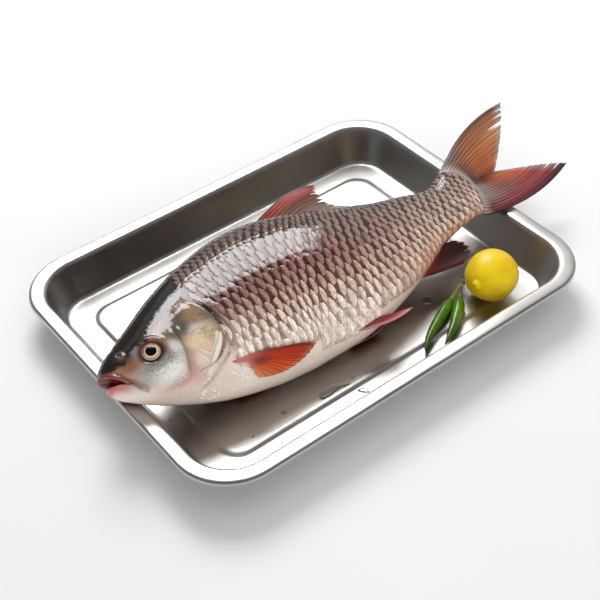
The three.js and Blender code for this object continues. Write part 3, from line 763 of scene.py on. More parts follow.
def make_tray(material):
    """The tray: one pressed sheet with a raised panel, slanting walls, rolled rim and turned-down lip."""
    line = rounded_profile(TRAY_PROFILE)
    step = unit(np.gradient(line, axis=0))
    under = line + SHEET * np.stack([-step[:, 1], step[:, 0]], -1)
    under[:, 1] = np.maximum(under[:, 1], 0)
    centre = [56 + 3 * k for k in range(1, 5)]
    upper = [(inset, PANEL_TOP) for inset in reversed(centre)] + [tuple(p) for p in line]
    lower = [(inset, PANEL_TOP - SHEET) for inset in reversed(centre)] + [tuple(p) for p in under]
    rings = np.array([rounded_rectangle(*p) for p in upper + lower[::-1]])
    points, faces = capped(rings)
    tray = make_piece("steel_tray", points, faces, material)
    face_outwards(tray)
    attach(tray, "root")
    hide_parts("tray")


# ---- the head and the bare skin ----------------------------------------------------------------


def near_line(line, at, up):
    """Distance from each place to a bent line, signed by the side, and how far along it."""
    best = np.full(np.shape(at), 1e9)
    side = np.zeros(np.shape(at))
    along = np.zeros(np.shape(at))
    spans = np.linalg.norm(np.diff(line, axis=0), axis=1)
    start = np.concatenate([[0], np.cumsum(spans)])
    for (x0, y0), (x1, y1), span, begin in zip(line[:-1], line[1:], spans, start):
        dx, dy = (x1 - x0) / span, (y1 - y0) / span
        t = np.clip((at - x0) * dx + (up - y0) * dy, 0, span)
        gap = np.hypot(at - x0 - t * dx, up - y0 - t * dy)
        closer = gap < best
        best = np.where(closer, gap, best)
        side = np.where(closer, np.sign((at - x0) * dy - (up - y0) * dx), side)
        along = np.where(closer, (begin + t) / start[-1], along)
    return best, side, along


def ends(along, share=0.15):
    """Fades a fold out at both ends of its line."""
    return smooth(along, 0, share) * (1 - smooth(along, 1 - share, 1))


def gill_edge(angle):
    depth, _ = section(GILL_EDGE)
    held = np.clip(depth * np.cos(angle), -GILL_HALF_DEPTH, GILL_TOP) / GILL_HALF_DEPTH
    return GILL_CENTRE + GILL_REACH * np.sqrt(1 - held * held)


# Between these places the skin's rings bend to follow the gill cover's edge.
BENT_FROM, BENT_TO = 48, 165


def grid_to_spine(line, angle):
    """Grid lines follow the gill cover's edge, and are straight before it and well past it."""
    edge = gill_edge(angle)
    before = mix(BENT_FROM, edge, (line - BENT_FROM) / (GILL_EDGE - BENT_FROM))
    after = mix(edge, BENT_TO, (line - GILL_EDGE) / (BENT_TO - GILL_EDGE))
    bent = np.where(line <= GILL_EDGE, before, after)
    return np.where((line <= BENT_FROM) | (line >= BENT_TO), line, bent)


def head_relief(line, at, angle, place):
    """How far the skin stands out, and how much painted shade darkens its folds, the gill cover's edge, the
    nostril and the eye's socket.
    """
    depth, _ = section(at)
    up = depth * np.cos(angle)
    gill_depth, _ = section(GILL_EDGE)
    fade = 1 - smooth(gill_depth * np.cos(angle), GILL_TOP - 4, GILL_TOP + 12)
    behind = line - GILL_EDGE
    cover = GILL_STEP * smooth(line, 70, GILL_EDGE - 6) + 0.4 * bump(behind + 2.5, 2.5)
    fold = 0.5 * bump(behind - 5, 2.4) - 2.0 * bump(behind - 1.2, 1.8)
    fade *= smooth(gill_depth * np.cos(angle), -GILL_HALF_DEPTH - 3, -GILL_HALF_DEPTH + 10)
    height = fade * np.where(line < GILL_EDGE, cover, fold)
    # Painted shade: a dark line just behind the gill cover's edge, where it overhangs.
    dark = 0.8 * fade * bump(behind - 1.4, 1.5) * (line > GILL_EDGE - 0.5)

    for path, deep, wide, shade, inner in [
        (CHEEK_EDGE, 0.8, 1.3, 0.5, 0.5),
        (GILL_FOLD, 0.7, 1.0, 0.55, 0.4),
        (THROAT_FOLD, 0.9, 1.4, 0.5, 0.4),
        (JAW_FOLD, 0.9, 0.9, 0.75, 0.5),
    ]:
        gap, _, along = near_line(path, at, place)
        soft = ends(along)
        height -= soft * (deep * bump(gap, wide) - inner * bump(gap - 2.2 * wide, 1.6 * wide))
        # Painted shade in each fold's groove.
        dark = np.maximum(dark, shade * soft * bump(gap, 0.8 * wide))

    eye = np.hypot(at - EYE_AT, up - EYE_UP)
    lean = np.arctan2(up - EYE_UP, at - EYE_AT)
    brow = smooth(np.sin(lean), -0.2, 0.6)
    height += 1.3 * brow * bump(eye - 13.5, 2.3) - 1.0 * bump(eye - 8.8, 1.6)
    # Painted shade in the socket round the eye.
    dark = np.maximum(dark, 0.9 * (1 - smooth(eye, 9.8, 12.8)))
    nostril = np.hypot(at - NOSTRIL_AT, up - NOSTRIL_UP)
    height += 0.9 * bump(nostril - 2.6, 0.9) - 1.2 * bump(nostril, 1.5)
    # Painted shade in the nostril's pit.
    dark = np.maximum(dark, 0.8 * bump(nostril, 1.3))
    flesh_only = (1 - smooth(at, 95, 120)) * (1 - smooth(place, -8, 6))
    height += 0.05 * waves(at, place, 5, 6) * flesh_only
    return height, dark, up


def mouth_shape(at, up):
    """How deep the mouth is cut, and how much of each lip stands round it."""
    gap, side, along = near_line(MOUTH, at, up)
    offset = -gap * side
    half = 0.5 * MOUTH_GAP * (1 - smooth(along, 0.3, 0.62)) * smooth(along, -0.08, 0.2) + 0.45
    inside = (1 - smooth(gap, 0.6 * half, 1.1 * half)) * (1 - smooth(along, 0.8, 0.95))
    upper = bump(offset - half - 1.7, 1.9) * (1 - 0.5 * along)
    lower = bump(offset + half + 2.1, 2.2) * (1 - smooth(along, 0.45, 0.9))
    return inside, upper, lower


# The skin's grid: places of its rings along the spine, closer together over the head and gill cover.
SKIN_LINES = np.concatenate([
    [0.25, 0.6, 1.1, 1.8, 2.6, 3.5], np.arange(4.5, 34, 0.9), np.arange(34, 100, 1.1),
    np.arange(100, 112, 0.5), np.arange(112, 130, 1.5), np.arange(131, TAIL_END, 4.5)])
SKIN_AROUND = 220
MOUTH_DEPTH = 9
LINED_FROM = 0.22
SUNK_UNDER_SCALES = 0.5


def make_skin(material, lining):
    """The whole body's skin with its folds, nostrils, lips and mouth; the scales lie on it."""
    rows, around = len(SKIN_LINES), SKIN_AROUND
    turn = np.linspace(0, 2 * math.pi, around, endpoint=False)
    line, angle = np.meshgrid(SKIN_LINES, turn, indexing="ij")
    at = grid_to_spine(line, angle)
    half_turn = np.where(angle > math.pi, 2 * math.pi - angle, angle)
    place = arc(at, half_turn)
    height, dark, up = head_relief(line, at, angle, place)
    inside, upper, lower = mouth_shape(at, up)
    height += 1.1 * upper + 1.0 * lower
    height -= SUNK_UNDER_SCALES * smooth(at, 112, 124)
    points = skin_point(at, angle) + skin_normal(at, angle) * height[..., None]
    way, _, _ = directions(at)
    points += way * (MOUTH_DEPTH * inside * (1 - smooth(at, 18, 30)))[..., None]
    points = settle(points)

    colour = head_colour(at, place)
    # Painted shade darkens the folds, the gill cover's edge, the nostril and the eye's socket.
    colour = mix(colour, colour * 0.2, dark[..., None])
    colour = blotted(colour, UPPER_LIP, 1.15 * upper)
    colour = blotted(colour, LOWER_LIP, 1.15 * lower)
    colour = blotted(colour, MOUTH_RED, smooth(inside, 0.15, 0.5))
    specks = np.exp(-(((at - 46) / 20) ** 2 + ((place + 15) / 11) ** 2) ** 1.5)
    specks = np.maximum(specks, 0.7 * np.exp(-(((at - 54) / 12) ** 2 + ((place + 33) / 7) ** 2) ** 1.5))

    flat = points.reshape(-1, 3)
    all_points = np.concatenate([flat, spine(0)[None], spine(TAIL_END)[None]])
    faces = grid_faces(rows, around, True)
    faces += [[rows * around, j, (j + 1) % around] for j in range(around)]
    last = (rows - 1) * around
    faces += [[rows * around + 1, last + (j + 1) % around, last + j] for j in range(around)]
    tail_colour = colour[-1].mean(0)
    flesh = np.concatenate([colour.reshape(-1, 3), colour[0, :1], tail_colour[None]])
    uv = np.concatenate([np.stack([at, place], -1).reshape(-1, 2) * MM, [[0, 0]], [[TAIL_END * MM, 0]]])
    specks = np.concatenate([specks.ravel(), [0, 0]])
    skin = make_piece("fish_skin", all_points, faces, material, uv, {"flesh": flesh}, {"specks": specks})
    face_outwards(skin)
    skin.data.materials.append(lining)
    deep = inside > LINED_FROM
    deep = deep[:-1] & deep[1:]
    deep = deep & np.roll(deep, -1, axis=1)
    index = np.zeros(len(faces), np.int32)
    index[:deep.size] = deep.ravel()
    skin.data.polygons.foreach_set("material_index", index)
    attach(skin, "root")
    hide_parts("rohu_fish")


def facing(at, up, side):
    """A place on the skin with its directions: along the fish, towards the back, outwards."""
    angle = skin_angle(at, up, side)
    centre = skin_point(at, angle)
    outward = skin_normal(at, angle)
    along = unit(skin_point(at + 1.0, angle) - skin_point(at - 1.0, angle))
    along = unit(along - outward * (along @ outward))
    return centre, along, np.cross(outward, along) * side, outward


# The eye's colours from the middle of the pupil to the rim.
IRIS = [(0.0, "#050507"), (0.50, "#08080a"), (0.55, "#1e1712"), (0.60, "#d6ccb4"), (0.67, "#ddd2b8"),
        (0.76, "#b08f66"), (0.86, "#b39470"), (0.91, "#cdb997"), (0.96, "#4a3020"), (1.0, "#100c0a")]


def make_eye(side, material):
    """A domed eye: black pupil, thin pale ring, gold and orange iris, dark rim."""
    centre, along, back, outward = facing(EYE_AT, EYE_UP, side)
    rings = np.concatenate([np.linspace(0.02, 0.9, 26), [0.95, 1.0, 1.04]])
    sides = 48
    turn = np.linspace(0, 2 * math.pi, sides, endpoint=False)
    r, t = np.meshgrid(rings, turn, indexing="ij")
    dome = EYE_PROUD - 2.6 * r ** 2.4
    x, y = r * EYE_RADIUS * np.cos(t), r * EYE_RADIUS * np.sin(t)
    points = centre + x[..., None] * along + y[..., None] * back + dome[..., None] * outward
    iris = stops(IRIS, r)
    orange = smooth(np.sin(t - 0.2), -0.1, 0.7) * smooth(r, 0.6, 0.7) * (1 - smooth(r, 0.88, 0.96))
    iris = mix(iris, linear("#9c3f18"), (0.8 * orange)[..., None])
    streaks = 1 + 0.18 * np.sin(23 * t + 2 * np.sin(5 * t)) * smooth(r, 0.6, 0.7)
    iris = iris * streaks[..., None]
    flat = np.concatenate([points.reshape(-1, 3), (centre + outward * EYE_PROUD)[None]])
    faces = grid_faces(len(rings), sides, True)
    faces += [[len(rings) * sides, j, (j + 1) % sides] for j in range(sides)]
    flesh = np.concatenate([iris.reshape(-1, 3), iris[0, :1]])
    eye = make_piece("eye_upper" if side > 0 else "eye_under", flat, faces, material, None, {"flesh": flesh})
    if side < 0:
        eye.data.flip_normals()
    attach(eye, "root")


# ---- scales ------------------------------------------------------------------------------------


def scale_plate():
    """One scale, a few faces: x runs back to the free edge at 0, y across; one row either way."""
    across = np.sin(np.linspace(-math.pi / 2, math.pi / 2, 9))
    rear = 0.75 * abs(across) ** 2.2
    front = 1.62
    points, uvs = [], []
    for part in (0.0, 0.12, 0.4, 0.7, 1.0):
        x = mix(rear, front, part)
        height = SCALE_LIFT * (1 - 1.7 * x / front) - 0.25 * across ** 2 - 0.15 * (1 - part) ** 6
        points += [(-px, py, pz) for px, py, pz in zip(x, across, height)]
        uvs += list(zip(x, across))
    rim = len(points)
    for drop in (0.02, 0.75):
        points += [(-x, y, z - drop) for (x, y), (_, _, z) in zip(uvs[:9], points[:9])]
        uvs += uvs[:9]
    count = len(across)
    faces = [face[::-1] for face in grid_faces(5, count, False)]
    faces += [[rim + j, rim + count + j, rim + count + j + 1, rim + j + 1] for j in range(count - 1)]
    mesh = bpy.data.meshes.new("scale plate")
    mesh.from_pydata(points, [], faces)
    write_uv(mesh, uvs)
    mesh.shade_smooth()
    return put_in_scene("scale plate", mesh)


def scale_places():
    """Where each scale's free edge is: rows along the flank, every other one half a space on."""
    chance = np.random.default_rng(31)
    steps = np.cumsum(1 / np.interp(SCALE_ROOM, SCALE_AT, SCALE_PITCH))
    places = []
    for row in ROWS:
        pace, spread = (SMALL_PITCH, SMALL_ROW) if row > LAST_LARGE_ROW else (1.0, 1.0)
        counts = np.arange(math.ceil(steps[0] / pace), steps[-1] / pace) + 0.5 * (row % 2)
        at = np.interp(counts * pace, steps, SCALE_ROOM)
        height = np.interp(at, SCALE_AT, SCALE_ROW)
        around = (min(row, LAST_LARGE_ROW) + SMALL_ROW * max(row - LAST_LARGE_ROW, 0)) * height + 2
        top, bottom = lookup(ARC, at, 0 * at), lookup(ARC, at, 0 * at + 180)
        edge = gill_edge(angle_at(at, np.minimum(around, top - 1)))
        first = edge + 5 + 8 * smooth(around, 25, 60)
        belly = np.interp(at, BELLY_AT, BELLY_BELOW)
        last = 436 - 20 * ((around + 1) / 33) ** 2
        kept = (at > first) & (at < last) & (around < top - 0.3 * height)
        kept &= (around > belly) & (around > bottom + 0.5 * height)
        slope = (around - 2) / height * np.gradient(height) / np.gradient(at)
        low = 1 - 0.75 * (1 - smooth(around - belly, 0, 22))
        length = pace * np.interp(at, SCALE_AT, SCALE_PITCH)
        places.append(np.stack([at, around, length, spread * height, slope, low], -1)[kept])
    places = np.concatenate(places)
    places[:, :2] += chance.normal(0, 0.35, (len(places), 2))
    return places


def scale_points():
    """Points for the scales on a flat chart of the flank: along the spine, and round the skin."""
    at, around, length, height, slope, low = scale_places().T
    chance = np.random.default_rng(7)
    count = len(at)
    pale = flank_colour(at, around)
    # The root colour carries painted shade from the scale in front.
    root = flank_colour(at, around, POCKET_AND_SHADE_FRONT, POCKET_AND_SHADE_REAR)
    red = bump(around - 4, 15) * (1 - smooth(at, 250, 330)) * smooth(chance.random(count), 0.3, 1)
    red *= smooth(at, 120, 150)
    pale = mix(pale, linear("#96504e"), (0.3 * red)[:, None])
    green = smooth(chance.random(count), 0.7, 1) * smooth(around, -15, 5)
    root = mix(root, linear("#3f4035"), (0.6 * green)[:, None])
    pale = pale * chance.uniform(0.86, 1.12, count)[:, None]
    root = root * chance.uniform(0.75, 1.25, count)[:, None]
    root = mix(pale, root, (0.35 + 0.65 * low)[:, None])
    shoulder = bump(at - 118, 26) * (1 - smooth(around, -26, -4))
    pale = mix(pale, linear("#f4e3d7"), (0.7 * shoulder)[:, None])
    root = mix(root, linear("#b8a393"), (0.7 * shoulder)[:, None])
    size = np.stack([length, height, 0.3 + 0.7 * low], -1)
    size[:, :2] *= chance.uniform(0.95, 1.06, (count, 2))
    lean = 0.05 + 0.12 * smooth(around, 15, 60)
    turn = np.stack([0 * at, 0 * at, np.arctan(slope) - lean + chance.normal(0, 0.03, count)], -1)
    cloud = bpy.data.meshes.new("scale places")
    cloud.from_pydata(np.stack([at, around, 0 * at], -1).tolist(), [], [])
    blush = bump(around - 14, 22) * (1 - smooth(at, 250, 320)) * smooth(chance.random(count), 0.25, 0.8)
    blush *= smooth(at, 120, 160)
    blush = np.stack([blush, chance.random(count), 0 * at], -1)
    for name, kind, values, width in [("turn", "FLOAT_VECTOR", turn, 3), ("size", "FLOAT_VECTOR", size, 3),
                                      ("blush", "FLOAT_VECTOR", blush, 3), ("pale", "FLOAT_COLOR", pale, 4),
                                      ("root", "FLOAT_COLOR", root, 4)]:
        data = np.ones((count, width), np.float32)
        data[:, :3] = values
        key = "color" if kind == "FLOAT_COLOR" else "vector"
        cloud.attributes.new(name, kind, "POINT").data.foreach_set(key, data.ravel())
    return cloud


def geometry_tree(name, inputs, result):
    """A geometry node tree with named inputs and one named result; returns it and its inputs."""
    tree = bpy.data.node_groups.new(name, "GeometryNodeTree")
    for label, kind in inputs.items():
        tree.interface.new_socket(label, in_out="INPUT", socket_type="NodeSocket" + kind)
    tree.interface.new_socket(result, in_out="OUTPUT", socket_type="NodeSocketGeometry")
    return tree, add(tree, "NodeGroupInput").outputs


def scales_tree(material):
    """Puts a scale on every point, turned and sized as the point says, with a little unevenness."""
    inputs = {"Places": "Geometry", "Scale": "Object", "Uneven tilt": "Float", "Seed": "Int"}
    tree, given = geometry_tree("laid scales", inputs, "Scales")
    plate = add(tree, "GeometryNodeObjectInfo", {"Object": given["Scale"]}).outputs["Geometry"]
    turn = add(tree, "GeometryNodeInputNamedAttribute", {"Name": "turn"}, data_type="FLOAT_VECTOR")
    size = add(tree, "GeometryNodeInputNamedAttribute", {"Name": "size"}, data_type="FLOAT_VECTOR")
    least = add(tree, "ShaderNodeMath", {0: given["Uneven tilt"], 1: -1.0}, operation="MULTIPLY")
    tilt = add(tree, "FunctionNodeRandomValue", {0: least, 1: given["Uneven tilt"], "Seed": given["Seed"]},
               data_type="FLOAT_VECTOR")
    laid = add(tree, "FunctionNodeEulerToRotation", {0: turn.outputs["Attribute"]})
    wobble = add(tree, "FunctionNodeEulerToRotation", {0: tilt.outputs["Value"]})
    turned = add(tree, "FunctionNodeRotateRotation", {0: laid, 1: wobble}, rotation_space="LOCAL")
    placed = add(tree, "GeometryNodeInstanceOnPoints", {"Points": given["Places"], "Instance": plate,
                                                        "Rotation": turned,
                                                        "Scale": size.outputs["Attribute"]})
    real = add(tree, "GeometryNodeRealizeInstances", {"Geometry": placed})
    dressed = add(tree, "GeometryNodeSetMaterial", {"Geometry": real, "Material": material})
    add(tree, "NodeGroupOutput", {"Scales": dressed})
    return tree


def socket_id(tree, name):
    """The identifier of a tree's input, which is what a modifier's input is set by."""
    return next(item.identifier for item in tree.interface.items_tree
                if item.item_type == "SOCKET" and item.in_out == "INPUT" and item.name == name)


def grown(name, cloud, tree, inputs, material):
    """Runs a node tree over a mesh and keeps the result as a plain piece."""
    seed = put_in_scene(name + " places", cloud)
    modifier = seed.modifiers.new("grow", "NODES")
    modifier.node_group = tree
    for key, value in inputs.items():
        modifier[socket_id(tree, key)] = value
    evaluated = seed.evaluated_get(bpy.context.evaluated_depsgraph_get())
    mesh = bpy.data.meshes.new_from_object(evaluated)
    seed.modifiers.remove(modifier)
    bpy.data.objects.remove(seed)
    mesh.materials.clear()
    mesh.materials.append(material)
    mesh.name = name
    return put_in_scene(name, mesh)


def read_points(mesh):
    points = np.empty(len(mesh.vertices) * 3, np.float32)
    mesh.vertices.foreach_get("co", points)
    return points.reshape(-1, 3).astype(float)


def wrap_round(chart, side):
    """Lays points of the flat chart on the fish, with their height above the bare skin."""
    at, around, height = chart.T
    angle = side * angle_at(at, around)
    return settle(skin_point(at, angle) + skin_normal(at, angle) * height[:, None])


def make_scales(material):
    """The scales of both flanks, laid on a flat chart and then wrapped round the body."""
    plate = scale_plate()
    tree = scales_tree(material)
    for side, name in [(1, "scales_upper"), (-1, "scales_under")]:
        inputs = {"Scale": plate, "Uneven tilt": math.radians(1.0), "Seed": 11}
        scales = grown(name, scale_points(), tree, inputs, material)
        wrapped = to_row(wrap_round(read_points(scales.data), side))
        scales.data.vertices.foreach_set("co", wrapped.astype(np.float32).ravel())
        if side < 0:
            scales.data.flip_normals()
        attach(scales, "root")
    bpy.data.objects.remove(plate)


# ---- fins --------------------------------------------------------------------------------------

RAY_THICKNESS = 1.2
WEB_THICKNESS = 0.7
BASE_DEPTH = 5
ROOT_DEPTH = 1


def on_middle(wave):
    """Lays a fin on the fish's middle plane, with a slow wave across it."""
    def place(points, off, s, r):
        return fish_point(points[..., 0], points[..., 1], off + wave * r * np.sin(9 * s))
    return place


def on_skin(side, height):
    """Lays a paired fin along the skin: its root is buried, the rest lifts clear."""
    def place(points, off, s, r):
        lift = height * np.sin(np.minimum(1, 1.6 * r) * math.pi / 2) - ROOT_DEPTH
        angle = skin_angle(points[..., 0], points[..., 1], side, lift)
        depth, width = section(points[..., 0])
        raised = lift + side * off
        out = (width + raised) * np.sin(angle) * (1 - BELLY_FULLNESS * np.cos(angle))
        return settle(fish_point(points[..., 0], (depth + raised) * np.cos(angle), out))
    return place


def make_fin(name, rays, base, edge, bend, cut, place, colours, material, rows=26, per_ray=8, root=2.2):
    """A closed thin fin: fine rays stand a little proud of the web and fork towards the outer edge."""
    columns = per_ray * (rays - 1) + 1
    s, r = np.meshgrid(np.linspace(0, 1, columns), np.linspace(0, 1, rows), indexing="ij")
    wave = s * (rays - 1)
    main = 0.5 + 0.5 * np.cos(2 * math.pi * wave)
    forked = 0.5 + 0.5 * np.cos(4 * math.pi * wave + 0.6 * np.sin(7 * wave))
    ray = mix(main ** 4, forked ** 3, smooth(r, 0.3, 0.7))
    start, end = base(s), edge(s)
    middle = (start + end) / 2
    middle[..., 1] += bend(s)
    t = (r * (1 - cut(s, main) * r ** 3))[..., None]
    plan = (1 - t) ** 2 * start + 2 * t * (1 - t) * middle + t * t * end
    proud = ray * smooth(r, 0.1, 0.4)
    thick = mix(root, mix(WEB_THICKNESS, RAY_THICKNESS, proud), np.minimum(1, 3 * r)) * (1 - 0.45 * r)
    faces_up = place(plan, thick / 2, s, r)
    faces_down = place(plan, -thick / 2, s, r)
    points = np.concatenate([faces_up.reshape(-1, 3), faces_down.reshape(-1, 3)])
    half = columns * rows
    upper = grid_faces(columns, rows, False)
    faces = upper + [[half + v for v in face[::-1]] for face in upper]
    border = [(i * rows, (i + 1) * rows) for i in range(columns - 1)]
    border += [((columns - 1) * rows + j, (columns - 1) * rows + j + 1) for j in range(rows - 1)]
    border += [((i + 1) * rows + rows - 1, i * rows + rows - 1) for i in range(columns - 1)]
    border += [(j + 1, j) for j in range(rows - 1)]
    faces += [[b, a, half + a, half + b] for a, b in border]
    web, ray_colour = colours(s, r)
    both = {"tone": np.tile(web.reshape(-1, 3), (2, 1)),
            "ray_tone": np.tile(ray_colour.reshape(-1, 3), (2, 1))}
    uv = np.tile(np.stack([wave, 3 * r], -1).reshape(-1, 2), (2, 1))
    fin = make_piece(name, points, faces, material, uv, both, {"ray": np.tile(ray.ravel(), 2)})
    face_outwards(fin)
    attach(fin, "root")


def nicked(even, *splits):
    """How much of each ray's end is missing: a little between rays, more at the splits."""
    def cut(s, main):
        gap = even * (1 - main ** 0.5)
        for place, deep, wide in splits:
            gap = np.maximum(gap, deep * bump(s - place, wide))
        return gap
    return cut


def pairs(*values):
    """Stacks place along the spine and height into plan points."""
    return np.stack(np.broadcast_arrays(*values), -1)


def straight(start, finish):
    """A fin's base: a straight run between two places."""
    return lambda s: pairs(mix(start[0], finish[0], s), mix(start[1], finish[1], s))


def sunk(start, finish, side):
    """A fin's base sunk a little below the ridge of the back (1) or below the keel (-1)."""
    def base(s):
        at = mix(start, finish, s)
        return pairs(at, side * (section(at)[0] - BASE_DEPTH))
    return base


def arched(*points):
    """A fin's outer edge: a curve bent by its middle point."""
    return lambda s: quadratic(points, s)


# The tail's colours from its upper to its lower edge: at the root, half way out and near the tips.
TAIL_ROOT = [(0, "#8d8492"), (0.06, "#7b6a68"), (0.12, "#7a5440"), (0.3, "#6a4634"), (0.45, "#4a2e27"),
             (0.52, "#4d4446"), (0.6, "#8f8886"), (0.8, "#948480"), (0.92, "#8d4a4a"), (1, "#4e2226")]
TAIL_MIDDLE = [(0, "#6d4a40"), (0.05, "#9a5f3e"), (0.2, "#b56f45"), (0.4, "#a85a38"), (0.48, "#5a2620"),
               (0.55, "#7d3328"), (0.63, "#a4604a"), (0.75, "#8c625c"), (0.9, "#985052"), (1, "#5a2228")]
TAIL_OUTER = [(0, "#5b4038"), (0.06, "#a86844"), (0.2, "#c88657"), (0.42, "#c06a3c"), (0.49, "#8a3a2a"),
              (0.58, "#cf7040"), (0.68, "#cc6238"), (0.8, "#a84e4c"), (0.9, "#a84a4e"), (1, "#4a2a30")]
RAY_DARK = "#2c1512"

# Where the tail's rays rise clear of the flank: height on the middle plane, and place along the spine.
STOP_UP = [-33, -24, 0, 20, 31]
STOP_AT = [417, 420, 433, 428, 424]
TAIL_MERGE = 16


def tail_colours(s, r):
    root, middle, outer = (stops(table, s) for table in (TAIL_ROOT, TAIL_MIDDLE, TAIL_OUTER))
    root = mix(linear("#b4a49b"), root, smooth(r, 0.03, 0.14)[..., None])
    web = mix(root, middle, smooth(r, 0.12, 0.45)[..., None])
    web = mix(web, outer, smooth(r, 0.45, 0.85)[..., None])
    pale = smooth(r, 0.86, 1.0) * (1 - 0.8 * smooth(s, 0.85, 1))
    web = blotted(web, "#b9aaa5", 0.75 * pale)
    tip = smooth(r, 0.7, 1.0) * smooth(s, 0.93, 1.0)
    web = blotted(web, "#463c44", tip)
    return web, mix(web * 0.3, linear(RAY_DARK), 0.35)


def over_the_root(points, off, s, r):
    """Lays the tail on the middle plane; its rays rise out of the flanks where the scales stop."""
    at, up = points[..., 0], points[..., 1]
    depth, width = section(np.minimum(at, TAIL_END))
    lean = np.arccos(np.clip(up / depth, -1, 1))
    past = 1 - smooth(at, TAIL_END, TAIL_END + TAIL_MERGE)
    flank = width * np.sin(lean) * (1 - BELLY_FULLNESS * np.cos(lean)) * past
    stop = np.interp(up, STOP_UP, STOP_AT)
    proud = flank + 0.3 - 2.6 * (1 - smooth(at, stop - 9, stop - 3))
    reach = np.where(flank > 0, np.maximum(abs(off), proud + 0.35 * (abs(off) - 0.4)), abs(off))
    return fish_point(at, up, np.sign(off) * reach + 1.6 * r * np.sin(9 * s))


def make_tail(material):
    """The forked tail: two lobes of fine rays, grey-brown at the root and orange-red beyond."""
    fork, upper_tip, lower_tip = (468, 0.5), (535, 60.5), (538.5, -36)

    def base(s):
        return pairs(416 + 14 * (1 - (2 * s - 1) ** 2), mix(30, -32, s))

    def edge(s):
        t = abs(2 * s - 1)
        upper = s < 0.5
        tip = np.where(upper[..., None], upper_tip, lower_tip)
        sag = np.where(upper, -12, 4) * t * (1 - t)
        return pairs(mix(fork[0], tip[..., 0], t), mix(fork[1], tip[..., 1], t) + sag)

    def bend(s):
        return np.where(s < 0.5, 20.5, -21) * abs(2 * s - 1) ** 1.6

    cut = nicked(0.012, (0.045, 0.10, 0.004), (0.085, 0.14, 0.005), (0.14, 0.26, 0.006), (0.155, 0.2, 0.004),
                 (0.31, 0.05, 0.004), (0.42, 0.07, 0.004), (0.72, 0.04, 0.004), (0.87, 0.09, 0.005),
                 (0.94, 0.12, 0.004))
    make_fin("tail_fin", 29, base, edge, bend, cut, over_the_root, tail_colours, material, 48, 8, 2.6)


def dorsal_colours(s, r):
    web = stops([(0, "#4e2a24"), (0.04, "#a03226"), (0.15, "#b04a38"), (0.24, "#86564a"), (0.5, "#a08476"),
                 (1, "#a89184")], s)
    web = blotted(web, "#8a6a5e", 0.6 * (1 - smooth(r, 0.1, 0.4)) * smooth(s, 0.15, 0.3))
    return web, mix(web * 0.3, linear(RAY_DARK), 0.3)


def make_dorsal(material):
    """The fin of the back: thin pale web between dark rays, ragged at its edge."""
    base, edge = sunk(199, 306, 1), arched((293, 93), (274, 69.5), (335, 44.5))

    def bend(s):
        return 24 * (1 - s) ** 2

    cut = nicked(0.05, (0.13, 0.08, 0.008), (0.2, 0.14, 0.01), (0.32, 0.12, 0.01), (0.41, 0.2, 0.012),
                 (0.52, 0.14, 0.01), (0.63, 0.18, 0.01), (0.74, 0.13, 0.01), (0.82, 0.16, 0.01))
    make_fin("dorsal_fin", 17, base, edge, bend, cut, on_middle(1.2), dorsal_colours, material)


def anal_colours(s, r):
    # The fin's own maroon, darkened almost to black away from its root as painted shade.
    web = mix(linear("#8e3028"), linear("#341110"), smooth(r, 0.05, 0.3)[..., None])
    web = mix(web, linear("#160707"), smooth(r, 0.3, 0.7)[..., None])
    web = mix(web, linear("#6e221e"), (0.5 * bump(s - 0.85, 0.1))[..., None])
    return web, mix(web, linear("#a8645c"), 0.16)


def make_anal(material):
    """The small fin under the rear of the body: maroon, darkened almost to black by painted shade, ragged at
    its edge.
    """
    base, edge = sunk(359, 312, -1), arched((376, -34), (392, -51), (369, -59))

    def bend(s):
        return -4 * s

    cut = nicked(0.07, (0.12, 0.16, 0.02), (0.3, 0.12, 0.015), (0.5, 0.18, 0.02), (0.7, 0.12, 0.015))
    make_fin("anal_fin", 11, base, edge, bend, cut, on_middle(1), anal_colours, material)


def pectoral_colours(s, r):
    web = stops([(0, "#6a241c"), (0.06, "#b8402a"), (0.3, "#d0421f"), (0.65, "#e5602a"), (1, "#ee9460")], s)
    web = mix(linear("#c27a6e"), web, smooth(r, 0.12, 0.5)[..., None])
    web = blotted(web, "#7a3038", 0.8 * bump(s - 0.4, 0.24) * bump(r - 0.36, 0.16))
    web = blotted(web, "#e8cdbf", smooth(s, 0.2, 0.6) * (1 - smooth(r, 0.04, 0.22)))
    # Painted highlight: pale orange along the ragged outer edge.
    web = blotted(web, "#e8a070", 0.5 * smooth(r, 0.9, 1.0))
    ray = mix(web * 0.3, linear("#6a1c12"), 0.5)
    return web, mix(web, ray, smooth(r, 0.12, 0.35)[..., None])


def make_pectoral(side, material):
    """A fin behind the gill cover: orange-red, laid back along the flank."""
    edges = [(177, -69), (143, -79), (110, -65)] if side > 0 else [(160, -64), (138, -67), (112, -58)]
    base, edge = straight((94, -42), (106, -53)), arched(*edges)

    def bend(s):
        return 2 * (1 - s)

    name = "pectoral_fin_upper" if side > 0 else "pectoral_fin_under"
    place = on_skin(side, 4.5 if side > 0 else 3.2)
    make_fin(name, 12, base, edge, bend, nicked(0.015), place, pectoral_colours, material, root=2)


def pelvic_colours(s, r):
    web = mix(linear("#8a2f2f"), linear("#e08a84"), smooth(s, 0.5, 1)[..., None])
    web = blotted(web, "#d9a99c", 1 - smooth(r, 0.02, 0.14))
    return web, web * 0.45


